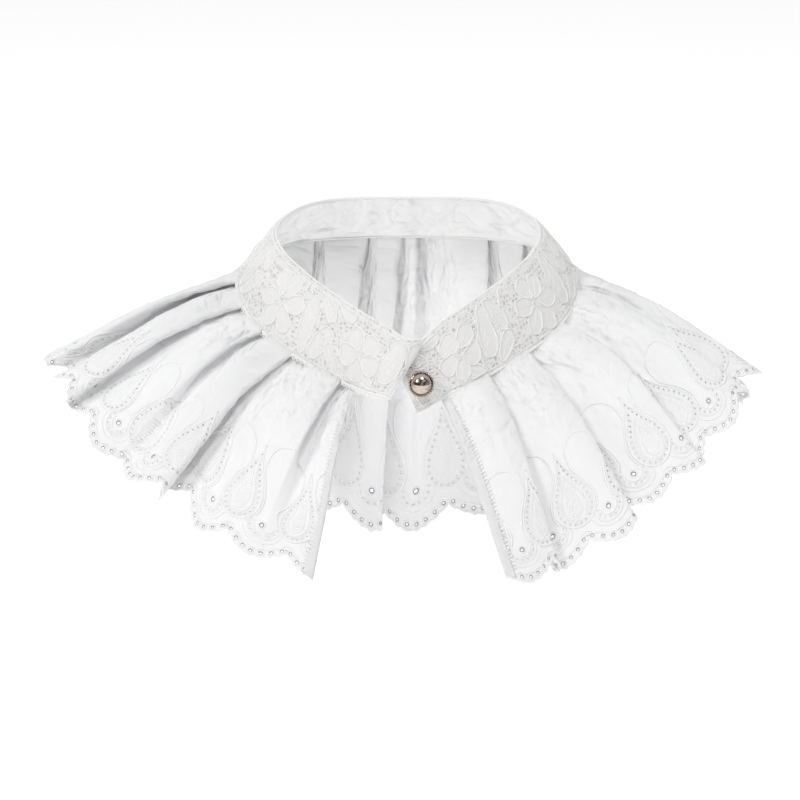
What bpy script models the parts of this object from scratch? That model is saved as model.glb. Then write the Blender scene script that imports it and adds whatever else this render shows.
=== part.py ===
"""A lace collar: a leaning stand band with a knife-pleated, scalloped ruffle below it.

It keeps the form that it has when worn, with no wearer: the neck and the hem are open, and the
fronts hang apart. Metres, +Z up, the opening faces -Y. The origin is the middle of the neck, level
with the band's lower edge at the sides. Angles go round from the front centre towards +X.
"""

import math
from bisect import bisect_right

import bmesh
import bpy
from mathutils import Vector

# Cloth and seams
RUFFLE_WALL = 0.0010
LACE_WALL = 0.0012
LINING_WALL = 0.0010
SEAM_GAP = 0.0003
LENGTH_GAP = 0.00045
RUFFLE_DROP = 0.0005
RUFFLE_BEND_DROP = 0.0017

# Height of the band's two edges at the sides, and how both edges tilt with the depth y
LOWER_HEIGHT = 0.0
UPPER_HEIGHT = 0.0238
FRONT_TILT = 0.55
BACK_TILT = 0.090
TILT_ROUNDING = 0.012

# The band's plan, the same on both sides: angle, radius of the lower edge, radius of the upper edge
BAND_PLAN = (
    (0.0, 0.0692, 0.0620),
    (10.0, 0.0677, 0.0575),
    (20.0, 0.0664, 0.0538),
    (30.0, 0.0655, 0.0515),
    (42.0, 0.0657, 0.0503),
    (54.0, 0.0682, 0.0512),
    (65.0, 0.0716, 0.0533),
    (76.0, 0.0748, 0.0566),
    (88.0, 0.0769, 0.0594),
    (102.0, 0.0788, 0.0602),
    (118.0, 0.0806, 0.0612),
    (132.0, 0.0812, 0.0622),
    (144.0, 0.0784, 0.0608),
    (156.0, 0.0738, 0.0572),
    (168.0, 0.0710, 0.0536),
    (180.0, 0.0700, 0.0525),
)

# The band's slanted ends: angle of the lower and of the upper corner
UNDER_END_LOWER = 3.5
UNDER_END_UPPER = -11.0
OVER_END_LOWER = 353.2
OVER_END_UPPER = 365.6
END_SLANT_REACH = 28.0
BAND_STATIONS = 60
END_CROWDING = 0.6

# Where the ends lie on each other, one steps out and the other in, and both droop
END_STEP = 0.0019
END_STEP_START = 26.0
END_STEP_FULL = 10.0
UNDER_DROOP = 0.0062
OVER_DROOP = 0.0046
DROOP_START = 20.0
DROOP_RUN = 20.0
BAND_BOW = 0.0008

# The ruffle, a row for each fold edge from the opening's +X side round the back to its other side:
# angle at the seam, angle at the hem, radius and height of the hem, how far the cloth arches
# between them, then the fold at the hem: cloth turned under, turn of the fold, radius of the turn,
# and how far the cloth behind the fold is drawn up
FOLDS = (
    (13.0, 14.2, 0.167, -0.0890, 0.004, 0.0000, 0.0, 0.0020, 0.000),
    (33.0, 23.8, 0.157, -0.0910, 0.004, 0.0000, 145.0, 0.0018, 0.005),
    (51.7, 37.6, 0.160, -0.0755, 0.004, 0.0000, 145.0, 0.0020, 0.011),
    (70.6, 50.6, 0.164, -0.0535, 0.005, 0.0000, 80.0, 0.0022, 0.003),
    (88.0, 65.0, 0.165, -0.0350, 0.005, 0.0025, 130.0, 0.0018, 0.004),
    (104.0, 77.0, 0.159, -0.0350, 0.001, 0.0030, 130.0, 0.0018, 0.003),
    (119.0, 94.0, 0.151, -0.0600, -0.014, 0.0040, 130.0, 0.0018, 0.003),
    (133.0, 112.0, 0.145, -0.0880, -0.019, 0.0050, 140.0, 0.0020, 0.003),
    (146.0, 131.0, 0.134, -0.1110, -0.014, 0.0060, 150.0, 0.0020, 0.003),
    (162.0, 152.0, 0.106, -0.1340, -0.005, 0.0060, 155.0, 0.0020, 0.002),
    (178.0, 177.0, 0.082, -0.1435, 0.004, 0.0000, 30.0, 0.0020, 0.000),
    (191.5, 191.3, 0.082, -0.1435, 0.004, 0.0040, 150.0, 0.0020, 0.002),
    (211.0, 213.0, 0.106, -0.1340, -0.005, 0.0060, 155.0, 0.0020, 0.003),
    (226.0, 233.0, 0.136, -0.1070, -0.012, 0.0060, 150.0, 0.0020, 0.003),
    (239.5, 254.0, 0.152, -0.0720, -0.010, 0.0050, 140.0, 0.0020, 0.003),
    (254.0, 272.0, 0.161, -0.0370, -0.003, 0.0030, 130.0, 0.0018, 0.003),
    (267.0, 287.0, 0.167, -0.0270, 0.004, 0.0030, 130.0, 0.0018, 0.004),
    (281.0, 299.5, 0.170, -0.0340, 0.004, 0.0025, 130.0, 0.0018, 0.003),
    (295.0, 310.0, 0.166, -0.0545, 0.005, 0.0000, 30.0, 0.0020, 0.000),
    (310.0, 320.5, 0.165, -0.0660, 0.005, 0.0080, 150.0, 0.0026, 0.013),
    (334.0, 337.5, 0.165, -0.0800, 0.004, 0.0000, 20.0, 0.0020, 0.000),
    (339.5, 346.3, 0.165, -0.0865, 0.004, 0.0000, 0.0, 0.0020, 0.000),
)
SEAM_ANGLE, HEM_ANGLE, HEM_RADIUS, HEM_HEIGHT, ARCH, HEM_UNDER, HEM_TURN, HEM_CURL, DRAWN = range(9)
DRAWN_REACH = 0.028

# The arch is t (1 - t)^2 times this, so that it is highest a third of the way down and 1 there
ARCH_SKEW = 6.75

# Folds at the seam, where they are pressed flat
SEAM_CURL = 0.00078
SEAM_TURN = 180.0
CLIMB_PER_RISE = 1.8
TURN_STEPS = 3
UNDER_STEPS = 4
LEAST_STEP = 0.0008
CLIMB_STEPS = 5
MOST_CLIMB = 0.75
LEVEL_STEPS = 8

# How far down the cloth each ring of points lies, as a share of the cloth's depth
LEVELS = (0.0, 0.06, 0.17, 0.34, 0.56, 0.79, 1.0)

# The lengths that the ruffle is cut from: name, first and last fold, pitch and depth of the
# scallops, where the first scallop's tip lies along the hem, and from which end that is measured
RUFFLE_LENGTHS = (
    ("ruffle_front_right", 0, 7, 0.029, 0.0080, 0.0115, "start"),
    ("ruffle_back", 7, 14, 0.036, 0.0095, 0.0300, "start"),
    ("ruffle_front_left", 14, 21, 0.029, 0.0080, 0.0005, "end"),
)
SCALLOP_ROUNDNESS = 1.6

# The button, on the under end of the band, and the thread loop that holds the ends together
BUTTON_ANGLE = 9.2
BUTTON_UP = 0.36
BUTTON_RADIUS = 0.0058
BUTTON_HEIGHT = 0.0046
BUTTON_EDGE = 0.0012
BUTTON_CLEARANCE = 0.0042
SHANK_RADIUS = 0.0013
LOOP_THREAD_RADIUS = 0.0004
LOOP_RADIUS = 0.0021
LOOP_REACH = 0.0047
LOOP_LEVEL = 0.0019


def clear_scene():
    for item in list(bpy.data.objects):
        bpy.data.objects.remove(item, do_unlink=True)


def make_material(name, color, roughness, metallic=0.0):
    material = bpy.data.materials.new(name)
    material.use_nodes = True
    shader = material.node_tree.nodes["Principled BSDF"]
    shader.inputs["Base Color"].default_value = (*color, 1.0)
    shader.inputs["Roughness"].default_value = roughness
    shader.inputs["Metallic"].default_value = metallic
    return material


def smooth_share(value):
    """0 below 0, 1 above 1, and a smooth rise between."""
    share = min(max(value, 0.0), 1.0)
    return share * share * (3.0 - 2.0 * share)


def curve_at(xs, ys, x):
    """Reads a smooth curve through points whose xs rise."""
    last = len(xs) - 1
    i = min(max(bisect_right(xs, x) - 1, 0), last - 1)

    def slope(j):
        a, b = max(j - 1, 0), min(j + 1, last)
        return (ys[b] - ys[a]) / (xs[b] - xs[a])

    span = xs[i + 1] - xs[i]
    s = (x - xs[i]) / span
    start = (2 * s**3 - 3 * s**2 + 1) * ys[i] + (s**3 - 2 * s**2 + s) * span * slope(i)
    end = (3 * s**2 - 2 * s**3) * ys[i + 1] + (s**3 - s**2) * span * slope(i + 1)
    return start + end


def tilt(y):
    """Height that the band's edges gain or lose with the depth y."""
    middle = (FRONT_TILT + BACK_TILT) / 2
    half = (FRONT_TILT - BACK_TILT) / 2
    return middle * y - half * (math.hypot(y, TILT_ROUNDING) - TILT_ROUNDING)


def band_edge(angle, upper):
    """Point of the band's lower or upper edge at an angle, before the ends step and droop."""
    turned = abs((angle + 180.0) % 360.0 - 180.0)
    column = 2 if upper else 1
    radius = curve_at([row[0] for row in BAND_PLAN], [row[column] for row in BAND_PLAN], turned)
    x = radius * math.sin(math.radians(angle))
    y = -radius * math.cos(math.radians(angle))
    return Vector((x, y, (UPPER_HEIGHT if upper else LOWER_HEIGHT) + tilt(y)))


def end_angles(along):
    """Angles of the lower and upper edge at a station, 0 at the under end and 1 at the over end."""
    angle = UNDER_END_LOWER + along * (OVER_END_LOWER - UNDER_END_LOWER)
    under = 1.0 - smooth_share((angle - UNDER_END_LOWER) / END_SLANT_REACH)
    over = 1.0 - smooth_share((OVER_END_LOWER - angle) / END_SLANT_REACH)
    slant = under * (UNDER_END_UPPER - UNDER_END_LOWER) + over * (OVER_END_UPPER - OVER_END_LOWER)
    return angle, angle + slant


def end_place(angle, is_over):
    """Step out of the band's surface and droop of one of its ends, at an angle near the front."""
    ahead = 360.0 - angle if is_over else angle
    step = smooth_share((END_STEP_START - ahead) / (END_STEP_START - END_STEP_FULL)) * END_STEP
    if is_over:
        return step, OVER_DROOP * smooth_share((angle - 350.0) / DROOP_RUN)
    return -step, UNDER_DROOP * smooth_share((DROOP_START - ahead) / DROOP_RUN)


def band_point(along, up, out):
    """Point of the band: along its length, up its height (0 to 1) and out of its middle surface."""
    lower_angle, upper_angle = end_angles(along)
    is_over = along > 0.5
    corners = []
    for angle, upper in ((lower_angle, False), (upper_angle, True)):
        step, droop = end_place(angle, is_over)
        point = band_edge(angle, upper)
        point.z -= droop
        ahead = band_edge(angle + 0.5, upper) - band_edge(angle - 0.5, upper)
        rise = band_edge(angle, True) - band_edge(angle, False)
        outward = ahead.cross(rise).normalized()
        corners.append((point, outward, step))
    (low, low_out, low_step), (high, high_out, high_step) = corners
    outward = low_out.lerp(high_out, up).normalized()
    step = low_step + (high_step - low_step) * up
    bow = BAND_BOW * 4.0 * up * (1.0 - up)
    return low.lerp(high, up) + outward * (step + out + bow)


def new_object(name, mesh, material):
    thing = bpy.data.objects.new(name, mesh)
    bpy.context.scene.collection.objects.link(thing)
    mesh.materials.append(material)
    mesh.shade_smooth()
    mesh.set_sharp_from_angle(angle=math.radians(50.0))
    return thing


def loft(name, rings, material):
    """Closed solid through rings of points. Each ring is a strip's two faces, out and back.

    The two faces are split into triangles along the same lines, so the wall keeps its thickness.
    """
    form = bmesh.new()
    rows = [[form.verts.new(point) for point in ring] for ring in rings]
    count = len(rows[0])
    for row, following in zip(rows, rows[1:]):
        for i in range(count):
            j = (i + 1) % count
            corners = (row[i], row[j], following[j], following[i])
            a, b, c, d = corners if i < count // 2 else corners[1:] + corners[:1]
            form.faces.new((a, b, c))
            form.faces.new((a, c, d))
    for row in (rows[0], rows[-1]):
        for i in range(count // 2 - 1):
            form.faces.new((row[i], row[i + 1], row[count - 2 - i], row[count - 1 - i]))
    bmesh.ops.recalc_face_normals(form, faces=form.faces)
    mesh = bpy.data.meshes.new(name)
    form.to_mesh(mesh)
    form.free()
    return new_object(name, mesh, material)


def band_layer(name, inner, outer, material):
    """One cloth layer of the band, between two distances out of its middle surface."""
    rings = []
    for station in range(BAND_STATIONS + 1):
        share = station / BAND_STATIONS
        along = share - END_CROWDING * math.sin(math.tau * share) / math.tau
        outside = [band_point(along, up, outer) for up in (0.0, 0.5, 1.0)]
        inside = [band_point(along, up, inner) for up in (1.0, 0.5, 0.0)]
        rings.append(outside + inside)
    return loft(name, rings, material)


def fold_value(column, q):
    return curve_at(list(range(len(FOLDS))), [row[column] for row in FOLDS], q)


def ruffle_base(q, t):
    """The ruffle's middle surface: q counts the folds, t goes from the seam to the hem."""
    seam_angle = fold_value(SEAM_ANGLE, q)
    seam = band_point((seam_angle - UNDER_END_LOWER) / (OVER_END_LOWER - UNDER_END_LOWER), 0.0, 0.0)
    fall = (band_edge(seam_angle, False) - band_edge(seam_angle, True)).normalized()
    hem_angle = math.radians(fold_value(HEM_ANGLE, q))
    radius = fold_value(HEM_RADIUS, q)
    hem = Vector((radius * math.sin(hem_angle), -radius * math.cos(hem_angle), fold_value(HEM_HEIGHT, q)))
    run = hem - seam
    lengthwise = Vector((math.cos(math.radians(seam_angle)), math.sin(math.radians(seam_angle)), 0.0))
    arch = run.cross(lengthwise).normalized() * (fold_value(ARCH, q) * ARCH_SKEW)
    leaves = (run + arch).normalized()
    drop = RUFFLE_DROP + RUFFLE_BEND_DROP * fall.cross(leaves).length
    start = seam + (fall + leaves).normalized() * drop
    return start.lerp(hem, t) + arch * (t * (1.0 - t) ** 2)


class Level:
    """The middle surface at one depth, read by distance along it and distance out of it."""

    STEPS = 12
    REACH = 0.5

    def __init__(self, t):
        self.t = t
        first = -self.REACH
        count = int((len(FOLDS) - 1 + 2 * self.REACH) * self.STEPS)
        self.q = [first + i / self.STEPS for i in range(count + 1)]
        self.points = [ruffle_base(q, t) for q in self.q]
        self.x = [0.0]
        for a, b in zip(self.points, self.points[1:]):
            self.x.append(self.x[-1] + (b - a).length)
        self.outward = []
        for i, q in enumerate(self.q):
            ahead = self.points[min(i + 1, count)] - self.points[max(i - 1, 0)]
            down = ruffle_base(q, min(t + 0.02, 1.0)) - ruffle_base(q, max(t - 0.02, 0.0))
            self.outward.append(down.cross(ahead).normalized())

    def fold_x(self, fold):
        return self.x[round((fold + self.REACH) * self.STEPS)]

    def place(self, x, out):
        i = min(max(bisect_right(self.x, x) - 1, 0), len(self.x) - 2)
        share = (x - self.x[i]) / (self.x[i + 1] - self.x[i])
        point = self.points[i].lerp(self.points[i + 1], share)
        return point + self.outward[i].lerp(self.outward[i + 1], share).normalized() * out


class Fold:
    """One knife fold at one depth: how far the cloth turns, its turned length and its rise."""

    def __init__(self, index, level, hem):
        row = FOLDS[index]
        t = level.t
        self.edge = level.fold_x(index)
        self.drawn = row[DRAWN]
        self.curl = SEAM_CURL + (row[HEM_CURL] - SEAM_CURL) * t
        self.turn = math.radians(SEAM_TURN + (row[HEM_TURN] - SEAM_TURN) * smooth_share(t))
        ahead = level.fold_x(index + 1) - level.fold_x(index)
        hem_ahead = hem.fold_x(index + 1) - hem.fold_x(index)
        behind = level.fold_x(index) - level.fold_x(index - 1)
        spare = (hem_ahead - ahead) / 2 + row[HEM_UNDER]
        climb = 2 * self.curl * (1 + CLIMB_PER_RISE * (1 - math.cos(self.turn)))
        room = (behind - climb) / (abs(math.cos(self.turn)) + CLIMB_PER_RISE * math.sin(self.turn))
        self.under = max(min(spare, room), 0.0)
        self.rise = 2 * self.curl * (1 - math.cos(self.turn)) + self.under * math.sin(self.turn)
        self.start = self.edge - self.curl * (1.0 if self.turn > math.pi / 2 else math.sin(self.turn))
        self.back = self.start + self.curl * math.sin(self.turn) + self.under * math.cos(self.turn)
        self.end = self.back + self.curl * math.sin(self.turn)

    def outer_turn(self):
        """Points (x, out, direction, drawn up) from the top layer round the fold's edge."""
        for step in range(TURN_STEPS + 1):
            angle = self.turn * step / TURN_STEPS
            x = self.start + self.curl * math.sin(angle)
            out = self.rise / 2 - self.curl * (1 - math.cos(angle))
            yield x, out, -angle, 0.0

    def turned_run(self, short=0.0):
        """Points of the turned length. The last one is there if a length ends short of it."""
        x_from = self.start + self.curl * math.sin(self.turn)
        out_from = self.rise / 2 - self.curl * (1 - math.cos(self.turn))
        for step in range(1, UNDER_STEPS + 1 if short else UNDER_STEPS):
            gone = (self.under - short) * step / UNDER_STEPS
            x = x_from + gone * math.cos(self.turn)
            out = out_from - gone * math.sin(self.turn)
            yield x, out, -self.turn, self.drawn * step / UNDER_STEPS

    def inner_turn(self):
        """Points from the end of the turned length round to the layer below it."""
        for step in range(TURN_STEPS + 1):
            angle = self.turn * (1 - step / TURN_STEPS)
            x = self.back + self.curl * (math.sin(self.turn) - math.sin(angle))
            out = -self.rise / 2 + self.curl * (1 - math.cos(angle))
            yield x, out, -angle, self.drawn


def run_points(x_from, x_to, climb_to, out_from, out_to, drawn):
    """Points of the cloth that climbs from under one fold and runs on level to the next one."""
    climb_to = min(climb_to, x_from + MOST_CLIMB * (x_to - x_from))
    climb = climb_to - x_from
    reach = min(DRAWN_REACH, x_to - x_from)
    for step in range(1, CLIMB_STEPS + LEVEL_STEPS):
        share = min(step / CLIMB_STEPS, 1.0)
        level_share = max(step - CLIMB_STEPS, 0) / LEVEL_STEPS
        x = x_from + climb * share + (x_to - climb_to) * level_share
        out = out_from + (out_to - out_from) * smooth_share(share)
        slope = (out_to - out_from) * 6 * share * (1 - share) / climb
        yield x, out, math.atan(slope), drawn * (1.0 - smooth_share((x - x_from) / reach))


def section(level, hem, first, last):
    """The cloth's middle line at one depth, between two folds: (x, out, direction, drawn up)."""
    points = []
    last_fold = len(FOLDS) - 1
    for index in range(first, last):
        if index == 0:
            x_from, out_from, drawn = level.fold_x(0), 0.0, 0.0
        else:
            fold = Fold(index, level, hem)
            points.extend(fold.inner_turn())
            x_from, out_from, drawn = max(fold.edge, fold.end + LEAST_STEP), -fold.rise / 2, fold.drawn
        points.append((x_from, out_from, 0.0, drawn))
        if index + 1 == last_fold:
            x_to = level.fold_x(last_fold)
            points.extend(run_points(x_from, x_to, x_to, out_from, 0.0, drawn))
            points.append((x_to, 0.0, 0.0, 0.0))
        else:
            following = Fold(index + 1, level, hem)
            climb_to = following.back - following.curl
            points.extend(run_points(x_from, following.start, climb_to, out_from, following.rise / 2, drawn))
            points.extend(following.outer_turn())
            is_end = index + 1 == last
            points.extend(following.turned_run(LENGTH_GAP if is_end else 0.0))
    return points


def lengths_along(points):
    """Distance along the cloth to each of a section's points."""
    total = [0.0]
    for a, b in zip(points, points[1:]):
        total.append(total[-1] + math.hypot(b[0] - a[0], b[1] - a[1]))
    return total


def scallop_cut(distance, pitch, depth):
    """How much the hem is cut back at a distance from a scallop's tip."""
    share = abs((distance / pitch + 0.5) % 1.0 - 0.5) * 2.0
    return depth * share**SCALLOP_ROUNDNESS


def draw_up(rings, levels, i, drawn):
    """Slides a column of points along the cloth, towards the seam, by a length at its hem."""
    share = drawn / (rings[-1][i] - rings[0][i]).length
    for upper, lower in reversed(list(zip(range(len(rings) - 1), range(1, len(rings))))):
        span = levels[lower].t - levels[upper].t
        rings[lower][i] = rings[lower][i].lerp(rings[upper][i], share * levels[lower].t / span)


def ruffle_length(name, first, last, pitch, depth, tip, side, levels, material):
    """One length of the pleated ruffle, between two folds."""
    hem = levels[-1]
    rings = []
    half = RUFFLE_WALL / 2
    for level in levels:
        points = section(level, hem, first, last)
        faces = []
        for sign in (1.0, -1.0):
            face = []
            for x, out, direction, _ in points:
                away_x = -math.sin(direction) * half * sign
                away_out = math.cos(direction) * half * sign
                face.append(level.place(x + away_x, out + away_out))
            faces.append(face)
        rings.append(faces[0] + faces[1][::-1])
    hem_points = section(hem, hem, first, last)
    along = lengths_along(hem_points)
    count = len(along)
    for i in range(2 * count):
        column = i if i < count else 2 * count - 1 - i
        draw_up(rings, levels, i, hem_points[column][3])
        distance = along[column] - tip if side == "start" else along[-1] - along[column] - tip
        cloth = (rings[-1][i] - rings[-2][i]).length
        share = 1.0 - scallop_cut(distance, pitch, depth) / cloth
        rings[-1][i] = rings[-2][i].lerp(rings[-1][i], share)
    return loft(name, rings, material)


def turned(name, outline, steps, material):
    """Solid turned about Z from an outline of (radius, height) that starts and ends on the axis."""
    form = bmesh.new()
    verts = [form.verts.new((radius, 0.0, height)) for radius, height in outline]
    edges = [form.edges.new(pair) for pair in zip(verts, verts[1:])]
    bmesh.ops.spin(
        form, geom=verts + edges, cent=(0, 0, 0), axis=(0, 0, 1), angle=math.tau, steps=steps, use_merge=True
    )
    bmesh.ops.remove_doubles(form, verts=form.verts, dist=0.00001)
    bmesh.ops.recalc_face_normals(form, faces=form.faces)
    mesh = bpy.data.meshes.new(name)
    form.to_mesh(mesh)
    form.free()
    return new_object(name, mesh, material)


def button_frame():
    """The button's foot on the under end, its outward direction, and the way along the band."""
    along = (BUTTON_ANGLE - UNDER_END_LOWER) / (OVER_END_LOWER - UNDER_END_LOWER)
    foot = band_point(along, BUTTON_UP, SEAM_GAP / 2 + LACE_WALL)
    ahead = band_point(along + 0.01, BUTTON_UP, 0.0) - band_point(along, BUTTON_UP, 0.0)
    rise = band_point(along, BUTTON_UP + 0.1, 0.0) - band_point(along, BUTTON_UP, 0.0)
    outward = ahead.cross(rise).normalized()
    return foot, outward, ahead.normalized()


def make_button(material):
    """Domed metal button with a rim, on a shank that stands on the band's under end."""
    foot, outward, _ = button_frame()
    base = BUTTON_CLEARANCE
    outline = [(0.0, SEAM_GAP), (SHANK_RADIUS, SEAM_GAP), (SHANK_RADIUS, base), (BUTTON_RADIUS * 0.86, base)]
    for step in range(7):
        angle = math.radians(-90 + 180 * step / 6)
        radius = BUTTON_RADIUS - BUTTON_EDGE / 2 + BUTTON_EDGE / 2 * math.cos(angle)
        outline.append((radius, base + BUTTON_EDGE / 2 + BUTTON_EDGE / 2 * math.sin(angle)))
    dome = BUTTON_RADIUS * 0.84
    for step in range(8):
        angle = math.radians(90 * step / 7)
        height = base + BUTTON_EDGE + (BUTTON_HEIGHT - BUTTON_EDGE) * math.sin(angle)
        outline.append((dome * math.cos(angle) if step < 7 else 0.0, height))
    button = turned("button", outline, 32, material)
    button.location = foot
    button.rotation_mode = "QUATERNION"
    button.rotation_quaternion = outward.to_track_quat("Z", "Y")
    return button


def make_button_loop(material):
    """Thread loop that comes out of the over end and goes round the button's shank."""
    foot, outward, ahead = button_frame()
    up = outward.cross(ahead)
    route = []
    for step in range(13):
        angle = math.radians(-105 + 210 * step / 12)
        route.append((LOOP_RADIUS * math.cos(angle), LOOP_RADIUS * math.sin(angle)))
    route = [(-LOOP_REACH, -0.0006)] + route + [(-LOOP_REACH, 0.0006)]
    curve = bpy.data.curves.new("button_loop", "CURVE")
    curve.dimensions = "3D"
    curve.bevel_depth = LOOP_THREAD_RADIUS
    curve.bevel_resolution = 2
    curve.use_fill_caps = True
    spline = curve.splines.new("POLY")
    spline.points.add(len(route) - 1)
    for point, (along, across) in zip(spline.points, route):
        place = foot + outward * LOOP_LEVEL + ahead * along + up * across
        point.co = (*place, 1.0)
    loop = bpy.data.objects.new("button_loop", curve)
    bpy.context.scene.collection.objects.link(loop)
    curve.materials.append(material)
    return loop


def main():
    clear_scene()
    lace = make_material("corded_lace", (0.86, 0.85, 0.83), 0.75)
    lining = make_material("lining_satin_cotton", (0.88, 0.87, 0.87), 0.6)
    cotton = make_material("embroidered_cotton", (0.86, 0.87, 0.88), 0.8)
    silver = make_material("polished_metal", (0.72, 0.68, 0.65), 0.18, 1.0)
    thread = make_material("loop_thread", (0.85, 0.85, 0.84), 0.7)
    band_layer("band_lining", -SEAM_GAP / 2 - LINING_WALL, -SEAM_GAP / 2, lining)
    band_layer("band_lace", SEAM_GAP / 2, SEAM_GAP / 2 + LACE_WALL, lace)
    levels = [Level(t) for t in LEVELS]
    for row in RUFFLE_LENGTHS:
        ruffle_length(*row, levels, cotton)
    make_button(silver)
    make_button_loop(thread)


main()
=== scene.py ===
# %% [markdown]
# # A lace collar
#
# The collar is a stand band of corded lace with a knife-pleated ruffle of embroidered border
# cotton sewn under it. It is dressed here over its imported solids: every sheet is bent by the same
# fold table as the solid it stands for, then cut, embroidered and stitched. Metres, +Z up, and the
# opening faces -Y.

import math
from bisect import bisect_right

import bmesh
import bpy
import numpy as np
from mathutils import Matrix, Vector, noise


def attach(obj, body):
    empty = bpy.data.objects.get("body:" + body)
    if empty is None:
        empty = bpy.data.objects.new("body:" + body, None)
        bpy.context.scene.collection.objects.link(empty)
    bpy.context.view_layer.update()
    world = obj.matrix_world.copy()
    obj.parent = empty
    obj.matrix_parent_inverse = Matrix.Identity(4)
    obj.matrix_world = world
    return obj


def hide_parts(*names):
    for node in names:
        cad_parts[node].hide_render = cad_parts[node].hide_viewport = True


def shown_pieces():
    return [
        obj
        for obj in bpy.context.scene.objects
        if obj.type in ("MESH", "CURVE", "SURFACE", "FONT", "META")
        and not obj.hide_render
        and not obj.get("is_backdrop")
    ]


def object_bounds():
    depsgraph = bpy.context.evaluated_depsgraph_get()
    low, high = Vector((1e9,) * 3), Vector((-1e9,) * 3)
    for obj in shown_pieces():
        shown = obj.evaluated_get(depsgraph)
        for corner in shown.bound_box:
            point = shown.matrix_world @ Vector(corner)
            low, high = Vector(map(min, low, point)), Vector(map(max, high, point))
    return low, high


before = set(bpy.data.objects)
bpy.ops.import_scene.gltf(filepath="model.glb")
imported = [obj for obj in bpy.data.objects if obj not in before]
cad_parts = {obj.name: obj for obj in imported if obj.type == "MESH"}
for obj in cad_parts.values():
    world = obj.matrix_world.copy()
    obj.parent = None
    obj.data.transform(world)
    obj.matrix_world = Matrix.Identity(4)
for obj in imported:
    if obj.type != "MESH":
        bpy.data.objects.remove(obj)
SOLID_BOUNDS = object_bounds()
print("solids:", ", ".join(sorted(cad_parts)))

# %% [markdown]
# ## Camera
#
# The photograph looks slightly down on the collar from straight ahead and from about a metre away.
# A long lens keeps that gentle perspective. The scale is set by the size of one pixel at the depth
# of the neck, so the collar fills the frame as it does in the photograph.

# %% Camera
METRES_PER_PIXEL = 0.46e-3
CAMERA_DISTANCE = 1.25
CAMERA_ELEVATION = math.radians(15.0)
FRAME_PIXELS = 800
SENSOR = 36.0

ahead = Vector((0.0, math.cos(CAMERA_ELEVATION), -math.sin(CAMERA_ELEVATION)))
aim = Vector((-8 * METRES_PER_PIXEL, 0.0, -112 * METRES_PER_PIXEL / math.cos(CAMERA_ELEVATION)))
camera_data = bpy.data.cameras.new("camera")
camera_data.sensor_width = SENSOR
camera_data.lens = SENSOR * CAMERA_DISTANCE / METRES_PER_PIXEL / FRAME_PIXELS
camera_data.clip_end = 20.0
camera = bpy.data.objects.new("camera", camera_data)
bpy.context.scene.collection.objects.link(camera)
camera.location = aim - ahead * CAMERA_DISTANCE
camera.rotation_mode = "QUATERNION"
camera.rotation_quaternion = ahead.to_track_quat("-Z", "Y")
bpy.context.scene.camera = camera
print(f"lens {camera_data.lens:.1f} mm")

# %% [markdown]
# ## Sizes and the fold table
#
# Every pleat of the ruffle is a row: where its edge starts at the seam, where it ends at the hem,
# and how the cloth turns under there. These are the values that the solids were made from, so the
# thin cloth lies inside them.

# %% Sizes
MM = 0.001
BAND_HEIGHT = 29.0
SEAM_GAP = 0.0003
LACE_WALL = 0.0012
RUFFLE_DROP = 0.0005
RUFFLE_BEND_DROP = 0.0017
LOWER_HEIGHT = 0.0
UPPER_HEIGHT = 0.0238
FRONT_TILT = 0.55
BACK_TILT = 0.090
TILT_ROUNDING = 0.012

# The band's plan: angle, radius of the lower edge, radius of the upper edge
BAND_PLAN = (
    (0.0, 0.0692, 0.0620),
    (10.0, 0.0677, 0.0575),
    (20.0, 0.0664, 0.0538),
    (30.0, 0.0655, 0.0515),
    (42.0, 0.0657, 0.0503),
    (54.0, 0.0682, 0.0512),
    (65.0, 0.0716, 0.0533),
    (76.0, 0.0748, 0.0566),
    (88.0, 0.0769, 0.0594),
    (102.0, 0.0788, 0.0602),
    (118.0, 0.0806, 0.0612),
    (132.0, 0.0812, 0.0622),
    (144.0, 0.0784, 0.0608),
    (156.0, 0.0738, 0.0572),
    (168.0, 0.0710, 0.0536),
    (180.0, 0.0700, 0.0525),
)
UNDER_END_LOWER = 3.5
UNDER_END_UPPER = -11.0
OVER_END_LOWER = 353.2
OVER_END_UPPER = 365.6
END_SLANT_REACH = 28.0
END_STEP = 0.0019
END_STEP_START = 26.0
END_STEP_FULL = 10.0
UNDER_DROOP = 0.0062
OVER_DROOP = 0.0046
DROOP_START = 20.0
DROOP_RUN = 20.0
BAND_BOW = 0.0008

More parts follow.
